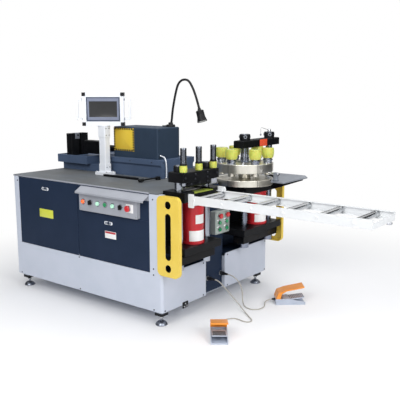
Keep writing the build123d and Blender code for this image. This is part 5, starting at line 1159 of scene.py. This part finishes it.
@dataclass
class BendingUnit(SubAssembly):
    """Bending press on the table, with the gauge bar and the stop lever in front of it."""

    coats = {
        "bend_bed": BED_BLUE, "bend_hood": HOOD_SLATE_PAINTED_SHADE, "die_block": BLACK_STEEL, "bend_ram": BLACK_STEEL,
        "gauge_bar": BLACK_STEEL, "stop_lever": BLACK_STEEL}
    hood_front: float = -88.0
    hood_end: float = -389.5
    ledge_front: float = -123.0
    ledge_end: float = -333.5
    ledge_screw_z: float = 1018.0
    table_z: float = 900.0
    sign_middle: Flat = (-736.5, 1172.0)
    sign_size: Flat = (217.0, 175.0)
    pipe_d: float = 9.0
    pipe_route: tuple[Point, ...] = ((-389.5, -58, 1062), (-366, -64, 1063), (-336, -72, 1056),
                                     (-320, -75, 1030), (-317, -74, 990), (-318, -72, 945),
                                     (-323, -70, 900.5))

    def build(self) -> None:
        """Models the sign plate, the die clamp, the screws and the bent pipe."""
        self.hang_sign()
        clamp = block("die_clamp", (-1299.6, -90, 1150), (-1296.2, -44, 1195.2))
        with editing(clamp):
            pick_faces(clamp, looks_up)
            extrude(0, 0, 3.4)
            pick_faces(clamp, lambda c, n: n.x < -0.9 and c.z > 1195.5)
            extrude(-30, 0, 0)
        self.keep(soften(clamp, 0.8), PLATE_GREY)
        self.add("die_clamp_screw", cap_screw(14), [at(-1296.3, -62, 1180, RIGHT)], BLACK_STEEL)
        places = [at(x, self.ledge_front, self.ledge_screw_z, FRONT) for x in (-842, -643, -420)]
        places += [at(self.ledge_end, y, self.ledge_screw_z, RIGHT) for y in (-90, 170)]
        places += [at(self.hood_end, y, z, RIGHT) for y in (-70, 150) for z in (1052, 1252)]
        self.add("bed_screws", pan_screw(9), places, DARK_SCREW)
        self.keep(pipe("bent_pipe", self.pipe_route, self.pipe_d), WHITE)
        fitting = turned([(9, 0), (9, 7), (6, 8), (6, 14)], sides=6)
        x, y, _ = self.pipe_route[-1]
        places = [at(*self.pipe_route[0], (1, -0.2, 0.05)), at(x, y, self.table_z)]
        self.add("pipe_fittings", fitting, places, ZINC)

    def hang_sign(self) -> None:
        """Models the bare sign on the hood: a yellow plate with black teeth along its edge."""
        x, z = self.sign_middle
        width, height = self.sign_size
        self.add("sign_face", plate(width, height, 0.8, 3), [at(x, self.hood_front, z, FRONT)], YELLOW_LABEL)
        spots = []
        for side in (-1, 1):
            spots += [((i - 3.5) * 24.0, side * (height / 2 - 6.6)) for i in range(8)]
            spots += [(side * (width / 2 - 7.9), (i - 4) * 19.0) for i in range(9)]
        places = [at(x + dx, self.hood_front - ON_LABEL, z + dz, FRONT) for dx, dz in spots]
        self.add("sign_border", plate(15, 12.4, 0.5, 1), places, BLACK_LABEL)


@dataclass
class Terminal(SubAssembly):
    """Operator terminal: mast and swivelling head."""

    coats = {"hmi_column": WHITE, "hmi_head": WHITE}
    middle: Point = (-852.5, -183.0, 1403.8)
    facing: float = 37.8
    face: float = 22.5
    corner: Flat = (147.0, 112.5)
    handle: Flat = (157.0, 74.5)
    mast_half: float = 36.5
    mast_foot: float = 922.0

    def local(self, x: float, y: float, z: float) -> Matrix:
        """Gives a place on the head: x to its right, y up, z out of its face."""
        return upright(self.middle, self.facing, (x, y, z))

    def build(self) -> None:
        """Models the screen unit, the black corners, the handle feet and the screws."""
        self.add("screen_unit", self.screen(), [self.local(0, 0, self.face)], SCREEN_GLASS, "terminal_head")
        corner = block("corner_block", (-13.5, -13.5, 0), (13.5, 13.5, 60))
        with editing(corner):
            pick_faces(corner, looks_up)
            bpy.ops.mesh.inset(thickness=5 * MM, depth=-0.6 * MM)
        x, y = self.corner
        places = [self.local(sx * x, sy * y, -28) for sx in (-1, 1) for sy in (-1, 1)]
        self.add("head_corners", soften(corner, 1.2), places, BLACK_PLASTIC, "terminal_head")
        foot = turned([(10, 0), (10, 6), (8, 8)], sides=24)
        x, y = self.handle
        places = [self.local(sx * x, sy * y, 0) @ quarter("Y", sx) for sx in (-1, 1) for sy in (-1, 1)]
        self.add("handle_feet", foot, places, PANEL_GREY, "terminal_head")
        x, y = self.middle[:2]
        places = [at(x + self.mast_half, y + dy, z, RIGHT) for dy in (-15, 15) for z in (1206, 1258)]
        places += [at(x + self.mast_half, y + dy, 960, RIGHT) for dy in (-15, 15)]
        self.add("mast_screws", pan_screw(8), places, DARK_SCREW)
        places = [at(x + dx, y + dy, self.mast_foot) for dx in (-52, 52) for dy in (-38, 38)]
        self.add("mast_bolts", cap_screw(12), places, SCREW_STEEL)

    def screen(self) -> Piece:
        """Models the screen unit round the origin: a dark rim, a raised frame and the sunk glass.

        Returns:
            The unit, with its three finishes.
        """
        unit = block("screen_unit", (-128.5, -92, -3), (128.5, 92, 6))
        for finish in (TRIM_PLASTIC, FRAME_PLASTIC, SCREEN_GLASS):
            unit.data.materials.append(finish.material())
        with editing(unit):
            for slot, inset in ((1, 9.5), (2, 12.6)):
                pick_faces(unit, lambda c, n: looks_up(c, n) and abs(c.x) < 1 and abs(c.y) < 1)
                bpy.ops.mesh.inset(thickness=inset * MM)
                if slot == 1:
                    bpy.ops.transform.translate(value=(0, 0, 1.2 * MM))
                else:
                    bpy.ops.transform.resize(value=(1.0, 0.851, 1.0))
                    extrude(0, 0, -1.6)
                unit.active_material_index = slot
                bpy.ops.object.material_slot_assign()
        return soften(unit, 0.5)


@dataclass
class WorkLamp(SubAssembly):
    """Gooseneck work lamp on the bending hood."""

    coats = {"lamp": BLACK_PLASTIC}
    foot: Point = (-442.0, 125.0, 1270.0)
    neck: tuple[Flat, ...] = ((-440, 1288), (-432, 1312), (-424, 1385), (-408, 1460), (-388, 1535),
                              (-368, 1590), (-338, 1618), (-304, 1626), (-264, 1618), (-230, 1572),
                              (-205, 1522), (-183, 1466), (-166, 1414), (-163, 1403))
    neck_d: float = 17.0
    aim: Point = (0.303, 0.0, -0.953)

    def build(self) -> None:
        """Models the base with its clip, the neck, the grooved head and its lens."""
        x, y, z = self.foot
        base = turned([(35, 0), (35, 11), (33, 15.5), (29, 18), (20, 18), (18, 20), (18, 30), (15, 34),
                       (9, 34)])
        self.add("lamp_base", base, [at(x, y, z)], BLACK_PLASTIC, stands_for=["lamp"])
        clip = block("lamp_clip", (x - 66, y - 24, z), (x - 41, y + 4, z + 11))
        self.keep(soften(clip, 1.5), ZINC)
        self.keep(pipe("lamp_neck", [(px, y, pz) for px, pz in self.neck], self.neck_d), BLACK_PLASTIC)
        px, pz = self.neck[-1]
        place = at(px, y, pz, self.aim)
        head = [(8, -14), (11.5, -13), (13, -2), (16, 2), (26, 5), (29.5, 9)]
        for groove in (16, 24, 32):
            head += [(29.8, groove), (28.2, groove + 1), (28.2, groove + 3), (29.8, groove + 4)]
        head += [(30, 54), (31, 57), (37, 82), (37.5, 88), (35.5, 88), (34.5, 84)]
        self.add("lamp_head", turned(head, sides=48), [place], BLACK_PLASTIC)
        self.add("lamp_lens", turned([(33.5, 84), (33.5, 85), (26, 86.5), (12, 87.4)]), [place], LAMP_LENS)


@dataclass(frozen=True)
class Pedal:
    """A pedal's place and turn on the floor, its connector, and its cord's length and route.

    The route's points count from the cabinet's front left corner, on the floor.
    """

    name: str
    place: Flat
    turn: float
    connector: Point
    cord_length: float
    route: tuple[Point, ...]


@dataclass
class FootPedals(SubAssembly):
    """Two foot pedals with their cords and connectors."""

    coats = {
        "pedal_bases": PEDAL_GREY, "pedal_hoods": ORANGE_PLASTIC, "pedal_treadle_cut": PEDAL_GREY,
        "pedal_treadle_punch": PEDAL_GREY, "cord_connectors": BLACK_PLASTIC, "pedal_cord_cut": CORD_PVC,
        "pedal_cord_punch": CORD_PVC}
    cord_d: float = 8.0
    cord_z: float = 28.0
    plug_length: float = 68.0
    straight_end: float = 40.0
    treadle_start: Flat = (62.0, 37.0)
    treadle_slope: Flat = (20.0, 146.0)
    ribs: range = range(46, 144, 12)
    corner: Point = (-1437.5, -613.0, 0.0)
    pedals: tuple[Pedal, ...] = (
        Pedal("cut", (413.5, -416.0), -52.2, (76.5, -91.0, 216.0), 942.0, (
            (1609, 522, 216), (1636, 536, 186), (1661, 566, 138), (1684, 602, 86), (1721, 616, 42),
            (1777, 595, 14), (1836, 555, 5), (1885, 516, 4.5), (1916, 494, 4.5), (1932, 464, 4.5),
            (1916, 436, 4.5), (1884, 432, 4.5), (1842, 444, 4.5), (1803, 440, 4.5), (1778, 408, 4.5),
            (1768, 362, 4.5), (1774, 314, 5), (1795, 270, 13))),
        Pedal("punch", (418.5, 285.0), 40.0, (76.5, 67.0, 218.0), 690.0, (
            (1610, 680, 218), (1642, 687, 202), (1667, 702, 170), (1675, 722, 128), (1674, 736, 86),
            (1676, 736, 48), (1692, 716, 20), (1722, 688, 6), (1762, 664, 4.5), (1808, 656, 4.5),
            (1842, 684, 4.5), (1853, 730, 4.5), (1843, 776, 4.5), (1824, 806, 5), (1808, 834, 12))))

    def build(self) -> None:
        """Models the cords, what the pedals carry, and the connectors' flanges and nuts."""
        for pedal in self.pedals:
            self.lay_cord(pedal)
            self.trim_pedal(pedal)
        places = [at(*pedal.connector, RIGHT) for pedal in self.pedals]
        flange = turned([(13.8, 0), (18, 0), (18, 4.4), (16, 5.6), (13.8, 5.6)], ring=True)
        self.add("connector_flanges", flange, places, SCREW_STEEL)
        nut = turned([(13.6, 6), (14.6, 7), (14.6, 25), (13.6, 27)], sides=30, ring=True)
        with editing(nut):
            pick_faces(nut, lambda c, n: 8 < c.z < 24
                       and round(math.degrees(math.atan2(c.y, c.x)) / 12) % 2 == 0)
            bpy.ops.mesh.inset(thickness=0.5 * MM, depth=-0.7 * MM, use_individual=True)
        self.add("connector_nuts", nut, places, DARK_SCREW)

    def trim_pedal(self, pedal: Pedal) -> None:
        """Models the ribs on a treadle, the cord's gland and the screws.

        Args:
            pedal: The pedal.
        """
        local = partial(upright, (*pedal.place, 0), pedal.turn)
        x, z = self.treadle_start
        slope = math.atan2(*self.treadle_slope)
        rib = soften(block("rib", (-1.6, -0.6, -42), (1.6, 1.6, 42)), 0.7)
        tilt = Matrix.Rotation(slope, 4, "Z")
        places = [local((x + d * math.cos(slope), z + d * math.sin(slope), 0)) @ tilt for d in self.ribs]
        self.add(f"treadle_ribs_{pedal.name}", rib, places, RUBBER, f"treadle_{pedal.name}")
        gland = turned([(4.3, 0), (9.5, 0), (9.5, 5), (8, 6), (8, 12), (6.2, 24), (4.3, 24)], sides=24,
                       ring=True)
        places = [local((0, self.cord_z, 0)) @ quarter("Y", -1)]
        self.add(f"pedal_gland_{pedal.name}", gland, places, BLACK_PLASTIC)
        places = [local((x, 44, z)) @ quarter("X", -1) for x in (8, 26) for z in (-50.8, 50.8)]
        self.add(f"pedal_screws_{pedal.name}", pan_screw(6), places, SCREW_STEEL)

    def lay_cord(self, pedal: Pedal) -> None:
        """Lays a cord from its connector over the floor to its pedal.

        Args:
            pedal: The pedal that the cord belongs to.
        """
        start = Vector(pedal.connector) + Vector((self.plug_length, 0, 0))
        end = Vector((*pedal.place, self.cord_z))
        along = Vector((*polar(1.0, pedal.turn), 0))
        route = [Vector(self.corner) + Vector(point) for point in pedal.route]
        route = [start, *route, end - along * self.straight_end, end]
        cord = spline(f"cord_{pedal.name}", route, self.cord_d, rounds=6, steps=14)
        self.keep(cord, CORD_PVC, stands_for=[f"pedal_cord_{pedal.name}"])


# Studio


@dataclass(frozen=True)
class SoftBox:
    """A large soft studio lamp."""

    name: str
    place: Point
    aim: Point
    size: float
    power: float

    def hang(self) -> None:
        """Adds the lamp to the scene."""
        light = bpy.data.lights.new(self.name, "AREA")
        light.shape, light.size, light.energy = "DISK", self.size, self.power
        lamp = link(self.name, light)
        lamp.location = self.place
        lamp.rotation_euler = (Vector(self.aim) - Vector(self.place)).to_track_quat("-Z", "Y").to_euler()


@dataclass(frozen=True)
class Flag:
    """A dark cloth on an arc round the set, between two heights and two angles from the camera's side."""

    name: str
    radius: float
    heights: Flat
    angles: Flat


@dataclass
class Studio:
    """Pale floor, soft light and the camera; places here are in metres."""

    camera_place: Point = (2.6357, -3.4772, 1.5417)
    camera_turn: Flat = (79.903, 37.794)
    lens_mm: float = 55.18
    sensor_mm: float = 36.0
    ambient: float = 0.46
    shadow_reach: Flat = (1.3, 3.2)
    flags: tuple[Flag, ...] = (Flag("side_flags", 3.8, (0.0, 2.4), (48.0, 138.0)),
                               Flag("back_flag", 5.0, (2.0, 3.2), (128.0, 181.0)))
    lamps: tuple[SoftBox, ...] = (SoftBox("key", (1.2, -4.8, 4.0), (0.0, 0.0, 0.7), 3.0, 152.0),
                                  SoftBox("fill", (4.8, -1.4, 3.2), (0.2, 0.0, 0.7), 3.0, 132.0),
                                  SoftBox("top", (0.2, 0.6, 5.2), (0.0, 0.0, 0.8), 4.0, 90.0))

    def build(self) -> None:
        """Sets up the world, the floor, the lamps, the flags and the camera."""
        scene = bpy.context.scene
        scene.view_settings.view_transform = "Standard"
        self.light_world(scene)
        self.lay_floor()
        for lamp in self.lamps:
            lamp.hang()
        self.hang_flags()
        lens = bpy.data.cameras.new("camera")
        lens.lens, lens.sensor_width = self.lens_mm, self.sensor_mm
        scene.camera = link("camera", lens)
        scene.camera.location = self.camera_place
        tilt, pan = self.camera_turn
        scene.camera.rotation_euler = (math.radians(tilt), 0.0, math.radians(pan))

    def hang_flags(self) -> None:
        """Hangs the dark cloths that bright metal mirrors, so that it shows its roundness."""
        made = bpy.data.materials.new("dark_flag_cloth")
        node = partial(add_node, fresh_tree(made))
        cloth = node("ShaderNodeEmission", {"Color": linear("#2a2b2e"), "Strength": 1.0})
        node("ShaderNodeOutputMaterial", links={"Surface": cloth.outputs[0]})
        ahead = self.camera_turn[1] - 90
        for flag in self.flags:
            near, far = flag.angles
            low, high = flag.heights
            piece = tube_strip(flag.name, flag.radius / MM, (low / MM, high / MM), (0, 0),
                               lambda angle: near < abs((angle - ahead + 180) % 360 - 180) < far)
            piece.data.materials.append(made)
            piece.visible_camera = piece.visible_diffuse = False
            piece.visible_shadow = piece.visible_transmission = False

    def white_where_seen(self, node: Callable[..., bpy.types.Node]) -> bpy.types.NodeSocket:
        """Adds the test for rays that look straight at a surface, or by a mirror or glass.

        Args:
            node: Adds a node to the tree that gets the test.

        Returns:
            A socket that is 1 for such rays.
        """
        path = node("ShaderNodeLightPath").outputs
        seen = node("ShaderNodeMath", links={0: path["Is Camera Ray"], 1: path["Is Glossy Ray"]},
                    operation="MAXIMUM")
        return node("ShaderNodeMath", links={0: seen.outputs[0], 1: path["Is Transmission Ray"]},
                    operation="MAXIMUM").outputs[0]

    def light_world(self, scene: bpy.types.Scene) -> None:
        """Makes an even pale surround that shows white.

        Args:
            scene: The scene that gets the world.
        """
        scene.world = bpy.data.worlds.new("studio")
        node = partial(add_node, fresh_tree(scene.world))
        soft = node("ShaderNodeBackground", {"Color": linear("#f4f6fa"), "Strength": self.ambient}).outputs[0]
        white = node("ShaderNodeBackground", {"Color": linear("#ffffff"), "Strength": 1.0}).outputs[0]
        mixed = node("ShaderNodeMixShader", links={0: self.white_where_seen(node), 1: soft, 2: white})
        node("ShaderNodeOutputWorld", links={"Surface": mixed.outputs[0]})

    def lay_floor(self) -> None:
        """Lays a plain pale floor that keeps the machine's soft shadow and turns white further out."""
        deselect()
        bpy.ops.mesh.primitive_plane_add(size=60.0)
        floor = settle("floor")
        made = bpy.data.materials.new("pale_studio_floor")
        node = partial(add_node, fresh_tree(made))
        place = node("ShaderNodeTexCoord").outputs["Object"]
        mottle = node("ShaderNodeTexNoise", {"Scale": 2.0, "Detail": 2.0}, {"Vector": place}).outputs[0]
        tone = node("ShaderNodeMix", {6: linear("#f5f5f6"), 7: linear("#f8f8f9")}, {0: mottle},
                    data_type="RGBA").outputs[2]
        skin = node("ShaderNodeBsdfPrincipled", {"Roughness": 0.9, "Specular IOR Level": 0.1},
                    {"Base Color": tone})
        reach = node("ShaderNodeVectorMath", links={0: place}, operation="LENGTH").outputs["Value"]
        near, far = self.shadow_reach
        share = node("ShaderNodeMapRange", {"From Min": near, "From Max": far}, {"Value": reach},
                     interpolation_type="SMOOTHSTEP").outputs["Result"]
        share = node("ShaderNodeMath", links={0: share, 1: self.white_where_seen(node)},
                     operation="MULTIPLY").outputs[0]
        white = node("ShaderNodeEmission", {"Color": linear("#ffffff"), "Strength": 1.0}).outputs[0]
        mixed = node("ShaderNodeMixShader", links={0: share, 1: skin.outputs["BSDF"], 2: white})
        node("ShaderNodeOutputMaterial", links={"Surface": mixed.outputs[0]})
        floor.data.materials.append(made)


def main() -> None:
    """Builds and dresses the machine and sets the studio."""
    logging.basicConfig(level=logging.INFO, format="%(message)s")
    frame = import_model()
    for made in (Cabinet, ControlPanel, ButtonBox, CuttingUnit, PunchingUnit, Conveyor, BendingUnit, Terminal,
                 WorkLamp, FootPedals):
        group = made(frame["nodes"])
        group.build()
        group.dress()
    Studio().build()
    deselect()


if __name__ == "__main__":
    main()
